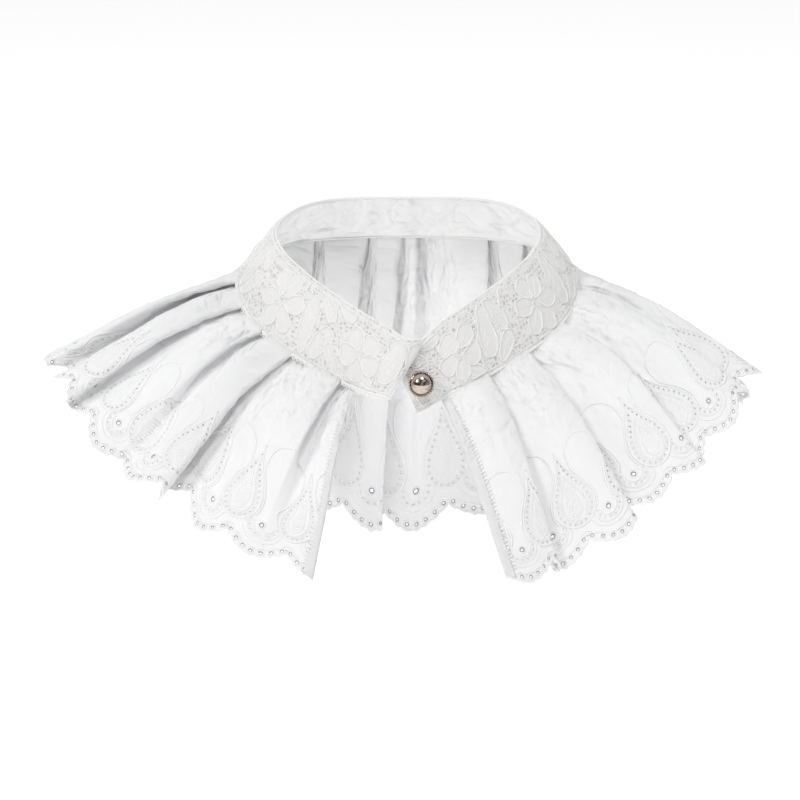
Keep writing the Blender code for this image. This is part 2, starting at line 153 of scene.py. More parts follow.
# Folds: angle at the seam, angle at the hem, radius and height of the hem, arch, then the fold at
# the hem: cloth turned under, turn, radius of the turn, and how far the cloth behind is drawn up
FOLDS = (
    (13.0, 14.2, 0.167, -0.0890, 0.004, 0.0000, 0.0, 0.0020, 0.000),
    (33.0, 23.8, 0.157, -0.0910, 0.004, 0.0000, 145.0, 0.0018, 0.005),
    (51.7, 37.6, 0.160, -0.0755, 0.004, 0.0000, 145.0, 0.0020, 0.011),
    (70.6, 50.6, 0.164, -0.0535, 0.005, 0.0000, 80.0, 0.0022, 0.003),
    (88.0, 65.0, 0.165, -0.0350, 0.005, 0.0025, 130.0, 0.0018, 0.004),
    (104.0, 77.0, 0.159, -0.0350, 0.001, 0.0030, 130.0, 0.0018, 0.003),
    (119.0, 94.0, 0.151, -0.0600, -0.014, 0.0040, 130.0, 0.0018, 0.003),
    (133.0, 112.0, 0.145, -0.0880, -0.019, 0.0050, 140.0, 0.0020, 0.003),
    (146.0, 131.0, 0.134, -0.1110, -0.014, 0.0060, 150.0, 0.0020, 0.003),
    (162.0, 152.0, 0.106, -0.1340, -0.005, 0.0060, 155.0, 0.0020, 0.002),
    (178.0, 177.0, 0.082, -0.1435, 0.004, 0.0000, 30.0, 0.0020, 0.000),
    (191.5, 191.3, 0.082, -0.1435, 0.004, 0.0040, 150.0, 0.0020, 0.002),
    (211.0, 213.0, 0.106, -0.1340, -0.005, 0.0060, 155.0, 0.0020, 0.003),
    (226.0, 233.0, 0.136, -0.1070, -0.012, 0.0060, 150.0, 0.0020, 0.003),
    (239.5, 254.0, 0.152, -0.0720, -0.010, 0.0050, 140.0, 0.0020, 0.003),
    (254.0, 272.0, 0.161, -0.0370, -0.003, 0.0030, 130.0, 0.0018, 0.003),
    (267.0, 287.0, 0.167, -0.0270, 0.004, 0.0030, 130.0, 0.0018, 0.004),
    (281.0, 299.5, 0.170, -0.0340, 0.004, 0.0025, 130.0, 0.0018, 0.003),
    (295.0, 310.0, 0.166, -0.0545, 0.005, 0.0000, 30.0, 0.0020, 0.000),
    (310.0, 320.5, 0.165, -0.0660, 0.005, 0.0080, 150.0, 0.0026, 0.013),
    (334.0, 337.5, 0.165, -0.0800, 0.004, 0.0000, 20.0, 0.0020, 0.000),
    (339.5, 346.3, 0.165, -0.0865, 0.004, 0.0000, 0.0, 0.0020, 0.000),
)
SEAM_ANGLE, HEM_ANGLE, HEM_RADIUS, HEM_HEIGHT, ARCH, HEM_UNDER, HEM_TURN, HEM_CURL, DRAWN = range(9)
DRAWN_REACH = 0.028
ARCH_SKEW = 6.75
SEAM_CURL = 0.00078
SEAM_TURN = 180.0
CLIMB_PER_RISE = 1.8
TURN_STEPS = 6
UNDER_STEPS = 8
LEAST_STEP = 0.0008
CLIMB_STEPS = 12
MOST_CLIMB = 0.75
LEVEL_STEPS = 14
LEVELS = (0.0, 0.02, 0.05, 0.09, 0.14, 0.2, 0.27, 0.34, 0.42, 0.5, 0.58, 0.66, 0.74, 0.82, 0.9, 1.0)

# Lengths of ruffle: name, first and last fold, pitch and depth of the scallops, where the first
# scallop's tip lies along the hem and the end it is measured from
RUFFLE_LENGTHS = (
    ("ruffle_front_right", 0, 7, 0.029, 0.0080, 0.0115, "start"),
    ("ruffle_back", 7, 14, 0.036, 0.0095, 0.0300, "start"),
    ("ruffle_front_left", 14, 21, 0.029, 0.0080, 0.0005, "end"),
)
SCALLOP_ROUNDNESS = 1.6
print(len(FOLDS), "fold edges in", len(RUFFLE_LENGTHS), "lengths of cloth")

# %% [markdown]
# ## The band's form
#
# A stand band is a strip that leans in, so its upper edge is shorter than its lower one. Both edges
# are read as smooth curves round the neck. Everything on the band, from the lace to the last cord,
# is placed by how far along it lies, how high up it is and how far out.


# %% Band form
def smooth_share(value):
    """0 below 0, 1 above 1, and a smooth rise between."""
    share = min(max(value, 0.0), 1.0)
    return share * share * (3.0 - 2.0 * share)


def curve_at(xs, ys, x):
    """Reads a smooth curve through points whose xs rise."""
    last = len(xs) - 1
    i = min(max(bisect_right(xs, x) - 1, 0), last - 1)

    def slope(j):
        a, b = max(j - 1, 0), min(j + 1, last)
        return (ys[b] - ys[a]) / (xs[b] - xs[a])

    span = xs[i + 1] - xs[i]
    s = (x - xs[i]) / span
    start = (2 * s**3 - 3 * s**2 + 1) * ys[i] + (s**3 - 2 * s**2 + s) * span * slope(i)
    end = (3 * s**2 - 2 * s**3) * ys[i + 1] + (s**3 - s**2) * span * slope(i + 1)
    return start + end


PLAN_ANGLES = [row[0] for row in BAND_PLAN]
PLAN_RADII = {False: [row[1] for row in BAND_PLAN], True: [row[2] for row in BAND_PLAN]}


def tilt(y):
    """Height that the band's edges gain or lose with the depth y."""
    middle = (FRONT_TILT + BACK_TILT) / 2
    half = (FRONT_TILT - BACK_TILT) / 2
    return middle * y - half * (math.hypot(y, TILT_ROUNDING) - TILT_ROUNDING)


def band_edge(angle, upper):
    """Point of the band's lower or upper edge at an angle, before the ends step and droop."""
    turned = abs((angle + 180.0) % 360.0 - 180.0)
    radius = curve_at(PLAN_ANGLES, PLAN_RADII[upper], turned)
    x = radius * math.sin(math.radians(angle))
    y = -radius * math.cos(math.radians(angle))
    return Vector((x, y, (UPPER_HEIGHT if upper else LOWER_HEIGHT) + tilt(y)))


def end_angles(along):
    """Angles of the lower and upper edge at a station, 0 at the under end and 1 at the over end."""
    angle = UNDER_END_LOWER + along * (OVER_END_LOWER - UNDER_END_LOWER)
    under = 1.0 - smooth_share((angle - UNDER_END_LOWER) / END_SLANT_REACH)
    over = 1.0 - smooth_share((OVER_END_LOWER - angle) / END_SLANT_REACH)
    slant = under * (UNDER_END_UPPER - UNDER_END_LOWER) + over * (OVER_END_UPPER - OVER_END_LOWER)
    return angle, angle + slant


def end_place(angle, is_over):
    """Step out of the band's surface and droop of one of its ends, at an angle near the front."""
    in_front = 360.0 - angle if is_over else angle
    step = smooth_share((END_STEP_START - in_front) / (END_STEP_START - END_STEP_FULL)) * END_STEP
    if is_over:
        return step, OVER_DROOP * smooth_share((angle - 350.0) / DROOP_RUN)
    return -step, UNDER_DROOP * smooth_share((DROOP_START - in_front) / DROOP_RUN)


def band_station(along):
    """The lower and upper edge at a place along the band, each as point, outward direction, step."""
    corners = []
    for angle, upper in zip(end_angles(along), (False, True)):
        step, droop = end_place(angle, along > 0.5)
        point = band_edge(angle, upper)
        point.z -= droop
        onward = band_edge(angle + 0.5, upper) - band_edge(angle - 0.5, upper)
        rise = band_edge(angle, True) - band_edge(angle, False)
        corners.append((point, onward.cross(rise).normalized(), step))
    return corners


def on_band(station, up, out):
    """Point over a station of the band: up its height (0 to 1) and out of its middle surface."""
    (low, low_out, low_step), (high, high_out, high_step) = station
    outward = low_out.lerp(high_out, up).normalized()
    step = low_step + (high_step - low_step) * up
    bow = BAND_BOW * 4.0 * up * (1.0 - up)
    return low.lerp(high, up) + outward * (step + out + bow)


# %% [markdown]
# ## The ruffle's folds
#
# A knife pleat is one strip of cloth that goes forward, doubles back under itself and goes forward
# again. At each depth the strip is followed as a path: round the outer turn, back along the turned
# length, round the inner turn, and up a gentle climb to the next fold. The seam presses the turns
# flat, and the hem lets them open.


# %% Fold paths
def fold_value(column, q):
    return curve_at(range(len(FOLDS)), [row[column] for row in FOLDS], q)


def ruffle_run(q):
    """Start, hem and arch of the ruffle's middle surface at q, which counts the folds."""
    seam_angle = fold_value(SEAM_ANGLE, q)
    along = (seam_angle - UNDER_END_LOWER) / (OVER_END_LOWER - UNDER_END_LOWER)
    seam = on_band(band_station(along), 0.0, 0.0)
    fall = (band_edge(seam_angle, False) - band_edge(seam_angle, True)).normalized()
    hem_angle = math.radians(fold_value(HEM_ANGLE, q))
    radius = fold_value(HEM_RADIUS, q)
    hem = Vector((radius * math.sin(hem_angle), -radius * math.cos(hem_angle), fold_value(HEM_HEIGHT, q)))
    run = hem - seam
    lengthwise = Vector((math.cos(math.radians(seam_angle)), math.sin(math.radians(seam_angle)), 0.0))
    arch = run.cross(lengthwise).normalized() * (fold_value(ARCH, q) * ARCH_SKEW)
    leaves = (run + arch).normalized()
    drop = RUFFLE_DROP + RUFFLE_BEND_DROP * fall.cross(leaves).length
    return seam + (fall + leaves).normalized() * drop, hem, arch


def at_depth(runs, t):
    """Points of the middle surface at one depth t, from 0 at the seam to 1 at the hem."""
    return [start.lerp(hem, t) + arch * (t * (1.0 - t) ** 2) for start, hem, arch in runs]


RUN_STEPS = 12
RUN_REACH = 0.5
RUN_COUNT = int((len(FOLDS) - 1 + 2 * RUN_REACH) * RUN_STEPS) + 1
RUNS = [ruffle_run(i / RUN_STEPS - RUN_REACH) for i in range(RUN_COUNT)]

# The allowance of cloth that is sewn in between the band's layers
TUCK_UP = 0.07
TUCKED = []
for i in range(RUN_COUNT):
    seam_share = fold_value(SEAM_ANGLE, i / RUN_STEPS - RUN_REACH) - UNDER_END_LOWER
    place = band_station(min(max(seam_share / (OVER_END_LOWER - UNDER_END_LOWER), 0.0), 1.0))
    TUCKED.append(on_band(place, TUCK_UP, 0.00005))


class Level:
    """The middle surface at one depth, read by distance along it and distance out of it."""

    def __init__(self, t):
        self.t = t
        self.points = at_depth(RUNS, t)
        above, below = at_depth(RUNS, max(t - 0.02, 0.0)), at_depth(RUNS, min(t + 0.02, 1.0))
        self.x = [0.0]
        for a, b in zip(self.points, self.points[1:]):
            self.x.append(self.x[-1] + (b - a).length)
        self.outward = []
        for i in range(RUN_COUNT):
            onward = self.points[min(i + 1, RUN_COUNT - 1)] - self.points[max(i - 1, 0)]
            self.outward.append((below[i] - above[i]).cross(onward).normalized())

    def fold_x(self, fold):
        return self.x[round((fold + RUN_REACH) * RUN_STEPS)]

    def tucked(self, x):
        """Where the cloth at x goes in the seam, if this is the seam's level."""
        return Vector([float(np.interp(x, self.x, [spot[k] for spot in TUCKED])) for k in range(3)])

    def place(self, x, out):
        i = min(max(bisect_right(self.x, x) - 1, 0), RUN_COUNT - 2)
        share = (x - self.x[i]) / (self.x[i + 1] - self.x[i])
        point = self.points[i].lerp(self.points[i + 1], share)
        return point + self.outward[i].lerp(self.outward[i + 1], share).normalized() * out


class Fold:
    """One knife fold at one depth: how far the cloth turns, its turned length and its rise."""

    def __init__(self, index, level, hem):
        row = FOLDS[index]
        self.edge = level.fold_x(index)
        self.drawn = row[DRAWN]
        self.curl = SEAM_CURL + (row[HEM_CURL] - SEAM_CURL) * level.t
        self.turn = math.radians(SEAM_TURN + (row[HEM_TURN] - SEAM_TURN) * smooth_share(level.t))
        onward = level.fold_x(index + 1) - self.edge
        hem_onward = hem.fold_x(index + 1) - hem.fold_x(index)
        behind = self.edge - level.fold_x(index - 1)
        spare = (hem_onward - onward) / 2 + row[HEM_UNDER]
        climb = 2 * self.curl * (1 + CLIMB_PER_RISE * (1 - math.cos(self.turn)))
        room = (behind - climb) / (abs(math.cos(self.turn)) + CLIMB_PER_RISE * math.sin(self.turn))
        self.under = max(min(spare, room), 0.0)
        self.rise = 2 * self.curl * (1 - math.cos(self.turn)) + self.under * math.sin(self.turn)
        self.start = self.edge - self.curl * (1.0 if self.turn > math.pi / 2 else math.sin(self.turn))
        self.back = self.start + self.curl * math.sin(self.turn) + self.under * math.cos(self.turn)
        self.end = self.back + self.curl * math.sin(self.turn)

    def outer_turn(self):
        for step in range(TURN_STEPS + 1):
            angle = self.turn * step / TURN_STEPS
            yield (
                self.start + self.curl * math.sin(angle),
                self.rise / 2 - self.curl * (1 - math.cos(angle)),
                0.0,
            )

    def turned_run(self):
        x_from = self.start + self.curl * math.sin(self.turn)
        out_from = self.rise / 2 - self.curl * (1 - math.cos(self.turn))
        for step in range(1, UNDER_STEPS):
            gone = self.under * step / UNDER_STEPS
            x = x_from + gone * math.cos(self.turn)
            yield x, out_from - gone * math.sin(self.turn), self.drawn * step / UNDER_STEPS

    def inner_turn(self):
        for step in range(TURN_STEPS + 1):
            angle = self.turn * (1 - step / TURN_STEPS)
            x = self.back + self.curl * (math.sin(self.turn) - math.sin(angle))
            yield x, -self.rise / 2 + self.curl * (1 - math.cos(angle)), self.drawn


def climbing_run(x_from, x_to, climb_to, out_from, out_to, drawn):
    """The cloth that climbs from under one fold and runs on level to the next one."""
    climb_to = min(climb_to, x_from + MOST_CLIMB * (x_to - x_from))
    reach = min(DRAWN_REACH, x_to - x_from)
    for step in range(1, CLIMB_STEPS + LEVEL_STEPS):
        share = min(step / CLIMB_STEPS, 1.0)
        level_share = max(step - CLIMB_STEPS, 0) / LEVEL_STEPS
        x = x_from + (climb_to - x_from) * share + (x_to - climb_to) * level_share
        out = out_from + (out_to - out_from) * smooth_share(share)
        yield x, out, drawn * (1.0 - smooth_share((x - x_from) / reach))


def strip_path(level, hem, first, last):
    """The strip at one depth, between two folds, as (x, out, drawn up)."""
    path = []
    last_fold = len(FOLDS) - 1
    for index in range(first, last):
        if index == 0:
            x_from, out_from, drawn = level.fold_x(0), 0.0, 0.0
        else:
            fold = Fold(index, level, hem)
            path.extend(fold.inner_turn())
            x_from, out_from, drawn = max(fold.edge, fold.end + LEAST_STEP), -fold.rise / 2, fold.drawn
        path.append((x_from, out_from, drawn))
        if index + 1 == last_fold:
            x_to = level.fold_x(last_fold)
            path.extend(climbing_run(x_from, x_to, x_to, out_from, 0.0, drawn))
            path.append((x_to, 0.0, 0.0))
        else:
            following = Fold(index + 1, level, hem)
            climb_to = following.back - following.curl
            path.extend(
                climbing_run(x_from, following.start, climb_to, out_from, following.rise / 2, drawn)
            )
            path.extend(following.outer_turn())
            path.extend(following.turned_run())
    return path


levels = [Level(t) for t in LEVELS]
print(len(levels), "depths of", len(RUNS), "runs each")

# %% [markdown]
# ## Cloth that can be embroidered
#
# Embroidery is worked on flat cloth before it is pleated. So each length keeps two sets of
# coordinates: where a point lies on the flat strip (along the hem, up from the hem), and where that
# point lies in space once pleated. Every eyelet and cord below is drawn flat and carried over.

# %% Cloth grid
CLOTH_THICKNESS = 0.00034
FINE_ROWS = 58
PLAIN_ROWS = 20
WRINKLE_SIZE = 0.013
WRINKLE_DEPTH = 0.0009
CRUMPLE_SIZE = 0.0062
CRUMPLE_DEPTH = 0.0017
RIPPLE_SIZE = 0.0032
RIPPLE_DEPTH = 0.0002

CREASE_SHARE = 0.75

# Creases, in millimetres on the flat cloth: length, foot (u, v), head (u, v), half width, depth
CREASES = (
    (0, (14, 60), (19, 108), 3.0, -1.3),
    (0, (26, 84), (23, 112), 2.2, 1.1),
    (0, (52, 72), (58, 110), 3.2, 1.2),
    (0, (64, 48), (61, 96), 2.6, -1.2),
    (0, (76, 66), (70, 104), 2.0, 1.0),
    (0, (97, 58), (104, 101), 3.0, -1.5),
    (0, (112, 70), (107, 112), 2.4, 1.2),
    (0, (121, 50), (118, 88), 2.2, -0.8),
    (0, (146, 62), (152, 106), 3.0, 1.4),
    (0, (160, 72), (150, 92), 1.9, -1.6),
    (0, (172, 48), (166, 99), 2.6, -1.1),
    (0, (205, 66), (213, 108), 2.8, 1.2),
    (0, (236, 72), (229, 110), 2.4, -1.3),
    (0, (262, 60), (268, 104), 3.0, 1.3),
    (0, (312, 64), (306, 112), 2.6, -1.2),
    (1, (44, 70), (50, 128), 3.4, 1.5),
    (1, (96, 84), (88, 140), 3.0, -1.4),
    (1, (150, 76), (156, 132), 3.2, 1.3),
    (1, (192, 92), (203, 146), 2.8, 1.5),
    (1, (222, 84), (214, 138), 2.4, -1.2),
    (1, (238, 60), (236, 128), 2.0, -1.6),
    (1, (264, 98), (255, 140), 3.0, 1.3),
    (1, (318, 80), (326, 134), 3.4, -1.5),
    (1, (378, 72), (370, 128), 2.8, 1.2),
    (1, (424, 76), (431, 126), 3.0, -1.2),
    (2, (28, 66), (22, 110), 2.8, 1.3),
    (2, (74, 60), (80, 104), 3.0, -1.3),
    (2, (118, 68), (112, 110), 2.4, 1.1),
    (2, (150, 64), (158, 104), 3.0, -1.4),
    (2, (170, 78), (164, 106), 2.0, 1.2),
    (2, (196, 60), (205, 100), 2.8, 1.4),
    (2, (216, 70), (208, 92), 1.9, -1.7),
    (2, (240, 58), (247, 104), 2.8, -1.3),
    (2, (262, 74), (254, 108), 2.4, 1.4),
    (2, (294, 56), (303, 101), 3.0, 1.3),
    (2, (318, 70), (309, 106), 2.2, -1.3),
    (2, (340, 66), (345, 106), 2.6, 1.1),
)


def scallop_cut(distance, pitch, depth):
    """How much the hem is cut back at a distance from a scallop's tip, with a bump for each eyelet."""
    share = abs((distance / pitch + 0.5) % 1.0 - 0.5) * 2.0
    bump = abs(math.cos(math.pi * HEM_EYELETS * (distance / pitch + 0.5)))
    return depth * share**SCALLOP_ROUNDNESS + EYELET_BUMP * pitch * bump


HEM_EYELETS = 7
EYELET_BUMP = 0.030


def crease_lift(u, v, foot, head, width):
    """A soft ridge along a line, 1 at its middle and 0 at its ends and sides."""
    share = (v - foot[1]) / (head[1] - foot[1])
    if not 0.0 < share < 1.0:
        return 0.0
    aside = (u - foot[0] - (head[0] - foot[0]) * share) / width
    return math.exp(-1.6 * abs(aside) ** 1.5) * math.sin(math.pi * share) ** 0.7


class Cloth:
    """One pleated length, read by u along its hem and v up from the tips of its scallops."""

    def __init__(self, number, name, first, last, pitch, depth, tip, side):
        self.name, self.pitch, self.depth = name, pitch, depth
        hem = levels[-1]
        paths = [strip_path(level, hem, first, last) for level in levels]
        along = [0.0]
        for a, b in zip(paths[-1], paths[-1][1:]):
            along.append(along[-1] + math.hypot(b[0] - a[0], b[1] - a[1]))
        self.length = along[-1]
        self.tip = tip if side == "start" else self.length - tip
        self.cell = pitch / round(pitch / (0.001 * pitch / 0.029))
        self.columns = int(self.length / self.cell) + 1
        self.u = np.linspace(0.0, self.length, self.columns)
        placed = np.array([[tuple(level.place(x, out)) for x, out, _ in path] for level, path in zip(levels, paths)])
        even = np.array([[np.interp(self.u, along, row[:, k]) for k in range(3)] for row in placed])
        runs = even.transpose(2, 0, 1)
        drawn = np.interp(self.u, along, [point[2] for point in paths[-1]])
        cut = [scallop_cut(u - self.tip, pitch, depth) for u in self.u]
        seam = np.array([tuple(levels[0].tucked(x)) for x, _, _ in paths[0]])
        allowance = np.stack([np.interp(self.u, along, seam[:, k]) for k in range(3)], axis=1)
        self.rows = FINE_ROWS + PLAIN_ROWS + 1
        self.v = np.zeros((self.columns, self.rows))
        self.points = np.zeros((self.columns, self.rows, 3))
        fine = np.arange(FINE_ROWS) * self.cell
        for c in range(self.columns):
            steps = np.linalg.norm(np.diff(runs[c], axis=0), axis=1)
            down = np.concatenate([[0.0], np.cumsum(steps)])
            reach = down[-1] - drawn[c]
            shares = np.clip(fine / (0.45 * pitch), 0.0, 1.0)
            rows = fine + cut[c] * (1.0 - shares * shares * (3.0 - 2.0 * shares))
            plain = np.linspace(fine[-1], reach, PLAIN_ROWS + 1)[1:]
            self.v[c] = np.concatenate([rows, plain, [reach + TUCK_UP * BAND_HEIGHT * MM]])
            for k in range(3):
                self.points[c, :, k] = np.interp(reach - self.v[c], down, runs[c][:, k])
            self.points[c, -1] = allowance[c]
        self.reach = self.v[:, -2]
        self.wrinkle(number)
        self.flat_area = float(np.sum(self.reach - np.array(cut)) * self.length / self.columns)

    def outward(self):
        """Direction out of the cloth's face at every point."""
        onward = np.gradient(self.points, axis=0)
        upward = np.gradient(self.points, axis=1)
        out = np.cross(onward, upward)
        return out / np.maximum(np.linalg.norm(out, axis=2, keepdims=True), 1e-12)

    def wrinkle(self, seed):
        """Crumpled, unpressed cloth, strongest in its plain upper half, with its listed creases."""
        out = self.outward()
        creases = [row[1:] for row in CREASES if row[0] == seed]
        for c in range(self.columns):
            for r in range(self.rows):
                u, v = self.u[c], self.v[c, r]
                share = v / self.reach[c]
                held = smooth_share((1.0 - share) / 0.09)
                loose = 0.12 + 0.88 * smooth_share((share - 0.35) / 0.4)
                wave = noise.noise(Vector((u / WRINKLE_SIZE, v / WRINKLE_SIZE / 2.4, seed)))
                crumple = noise.noise(Vector((u / CRUMPLE_SIZE, v / CRUMPLE_SIZE / 1.7, seed + 4.0)))
                ripple = noise.noise(Vector((u / RIPPLE_SIZE, v / RIPPLE_SIZE / 1.5, seed + 9.0)))
                lift = wave * WRINKLE_DEPTH + (0.35 - abs(crumple)) * CRUMPLE_DEPTH
                lift = lift * loose + ripple * RIPPLE_DEPTH
                for foot, head, width, depth in creases:
                    lift += crease_lift(u / MM, v / MM, foot, head, width) * depth * CREASE_SHARE * MM
                self.points[c, r] += out[c, r] * held * lift
        self.out = self.outward()

    def place(self, u, v, out=0.0):
        """The point in space for a place on the flat cloth, out of its face."""
        column = min(max(u / self.length * (self.columns - 1), 0.0), self.columns - 1.001)
        c = int(column)
        spot = np.zeros(3)
        face = np.zeros(3)
        for k, weight in ((c, 1.0 - column + c), (c + 1, column - c)):
            row = float(np.interp(v, self.v[k], np.arange(self.rows)))
            r = min(int(row), self.rows - 2)
            share = row - r
            spot += weight * (self.points[k, r] * (1.0 - share) + self.points[k, r + 1] * share)
            face += weight * (self.out[k, r] * (1.0 - share) + self.out[k, r + 1] * share)
        return spot + face * out

    def cell_of(self, u, v):
        """Column and row, not rounded, for a place on the flat cloth."""
        column = u / self.length * (self.columns - 1)
        c = min(max(round(column), 0), self.columns - 1)
        return column, float(np.interp(v, self.v[c], np.arange(self.rows)))


cloths = [Cloth(number, *row) for number, row in enumerate(RUFFLE_LENGTHS)]
for cloth in cloths:
    print(cloth.name, f"{cloth.length * 1000:.0f} mm of hem,", cloth.columns, "x", cloth.rows, "points")

# %% [markdown]
# ## Finishes
#
# The cloth is bleached cotton lawn: matt, nearly white, with a thread every third of a millimetre.
# Embroidery thread has a soft lustre. The colours are picked as sRGB hex values and turned to
# linear light by one function.


# %% Material helpers
def linear(hex_color):
    """Linear RGBA from an sRGB hex value."""
    parts = [int(hex_color[i : i + 2], 16) / 255 for i in (1, 3, 5)]
    return [p / 12.92 if p <= 0.04045 else ((p + 0.055) / 1.055) ** 2.4 for p in parts] + [1.0]


def add_node(tree, kind, settings=(), links=()):
    """Adds a node. Settings are (name or socket, value), and links are (socket, from socket)."""
    node = tree.nodes.new(kind)
    for name, value in settings:
        if isinstance(name, str) and hasattr(node, name):
            setattr(node, name, value)
        else:
            node.inputs[name].default_value = value
    for name, source in links:
        tree.links.new(source, node.inputs[name])
    return node


def new_finish(name, hex_color, roughness, metallic=0.0, sheen=0.0):
    """A material, with its node tree and its shader."""
    material = bpy.data.materials.new(name)
    material.use_nodes = True
    shader = material.node_tree.nodes["Principled BSDF"]
    shader.inputs["Base Color"].default_value = linear(hex_color)
    shader.inputs["Roughness"].default_value = roughness
    shader.inputs["Metallic"].default_value = metallic
    shader.inputs["Sheen Weight"].default_value = sheen
    return material, material.node_tree, shader


# %% Woven cotton
# Plain weave: 30 threads to the centimetre, drawn at 20 so that they show in a close view
THREAD_SPACING = 0.0005
UV_METRES = 0.1
CRUMPLE_LEAST = 0.12

# Lawn is so thin that some light comes through it
THROUGH_REACH = 0.001


def crumple_height(tree, place, plain_from, plain_to):
    """Sharp little creases, all over from plain_to up the cloth and faint below plain_from (metres)."""
    layers = []
    for size, share in ((0.014, 1.0), (0.0065, 0.45)):
        cells = add_node(
            tree,
            "ShaderNodeTexNoise",
            [("Scale", UV_METRES / size), ("Detail", 0.4), ("Distortion", 0.6)],
            [("Vector", place.outputs["UV"])],
        )
        middle = add_node(
            tree, "ShaderNodeMath", [("operation", "SUBTRACT"), (1, 0.5)], [(0, cells.outputs["Fac"])]
        )
        ridge = add_node(tree, "ShaderNodeMath", [("operation", "ABSOLUTE")], [(0, middle.outputs[0])])
        layers.append(
            add_node(tree, "ShaderNodeMath", [("operation", "MULTIPLY"), (1, share)], [(0, ridge.outputs[0])])
        )
    both = add_node(
        tree, "ShaderNodeMath", [("operation", "ADD")], [(0, layers[0].outputs[0]), (1, layers[1].outputs[0])]
    )
    axes = add_node(tree, "ShaderNodeSeparateXYZ", [], [("Vector", place.outputs["UV"])])
    height = add_node(
        tree,
        "ShaderNodeMapRange",
        [
            ("From Min", plain_from / UV_METRES),
            ("From Max", plain_to / UV_METRES),
            ("To Min", CRUMPLE_LEAST),
            ("To Max", 1.0),
        ],
        [("Value", axes.outputs["Y"])],
    )
    return add_node(
        tree, "ShaderNodeMath", [("operation", "MULTIPLY")], [(0, both.outputs[0]), (1, height.outputs[0])]
    )


def woven_cotton(name, hex_color, roughness, through, crumple, plain_from, plain_to):
    """Bleached plain-weave cotton: matt, with a fine grid of threads, slight slubs and creases."""
    material, tree, shader = new_finish(name, hex_color, roughness, sheen=0.15)
    shader.inputs["Subsurface Weight"].default_value = through
    shader.inputs["Subsurface Radius"].default_value = (1.0, 1.0, 1.0)
    shader.inputs["Subsurface Scale"].default_value = THROUGH_REACH
    place = add_node(tree, "ShaderNodeUVMap", [("uv_map", "flat_cloth")])
    waves = []
    for direction in ("X", "Y"):
        settings = [("bands_direction", direction), ("Scale", UV_METRES / THREAD_SPACING / 3.14)]
        waves.append(add_node(tree, "ShaderNodeTexWave", settings, [("Vector", place.outputs["UV"])]))
    both = [(0, waves[0].outputs["Fac"]), (1, waves[1].outputs["Fac"])]
    weave = add_node(tree, "ShaderNodeMath", [("operation", "ADD")], both)
    slub = add_node(
        tree, "ShaderNodeTexNoise", [("Scale", UV_METRES / 0.0016), ("Detail", 4.0)], [("Vector", place.outputs["UV"])]
    )
    height = add_node(
        tree,
        "ShaderNodeMath",
        [("operation", "MULTIPLY_ADD"), (1, 1.6)],
        [(0, slub.outputs["Fac"]), (2, weave.outputs[0])],
    )
    bump = add_node(
        tree, "ShaderNodeBump", [("Strength", 0.35), ("Distance", 0.00006)], [("Height", height.outputs[0])]
    )
    creased = add_node(
        tree,
        "ShaderNodeBump",
        [("Strength", 1.0), ("Distance", crumple)],
        [("Height", crumple_height(tree, place, plain_from, plain_to).outputs[0]), ("Normal", bump.outputs["Normal"])],
    )
    tree.links.new(creased.outputs["Normal"], shader.inputs["Normal"])
    return material


def twisted_thread(name, hex_color):
    """Mercerised embroidery thread, with a soft lustre and a fine twist: brighter than the cloth, except the grey one,
    which is painted shade.
    """
    material, tree, shader = new_finish(name, hex_color, 0.55, sheen=0.1)
    place = add_node(tree, "ShaderNodeTexCoord")
    twist = add_node(
        tree, "ShaderNodeTexNoise", [("Scale", 1 / 0.0007), ("Detail", 2.0)], [("Vector", place.outputs["Object"])]
    )
    bump = add_node(
        tree, "ShaderNodeBump", [("Strength", 0.3), ("Distance", 0.0001)], [("Height", twist.outputs["Fac"])]
    )
    tree.links.new(bump.outputs["Normal"], shader.inputs["Normal"])
    return material


cotton = woven_cotton("bleached_cotton_lawn", "#f0f0f1", 0.85, 0.4, 0.0040, 0.05, 0.09)
lining_cotton = woven_cotton("smooth_cotton_lining", "#f8f8f8", 0.7, 0.0, 0.0045, -0.02, -0.01)
thread = twisted_thread("mercerised_thread", "#f8f8f8")
# Grey thread rings inside the eyelets: painted shade, standing in for the dark inside the holes
painted_shade_thread = twisted_thread("thread_painted_eyelet_shade", "#a4a5a8")
print("cloth finishes:", cotton.name, lining_cotton.name, thread.name)

# %% [markdown]
# ## Pleated sheets
#
# Each length starts as one flat grid. Its points are carried to their pleated places, and its flat
# place is kept as a UV map, so that the weave follows the cloth. Eyelets are real holes: a few grid
# faces are removed and their corners drawn on to a circle. Solidify then gives the thin cloth two
# faces.


# %% Objects and sheets
def add_object(name, data, finish):
    """Puts a finished piece in the scene. It rides on the collar's one body."""
    piece = bpy.data.objects.new(name, data)
    bpy.context.scene.collection.objects.link(piece)
    data.materials.append(finish)
    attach(piece, "root")
    return piece


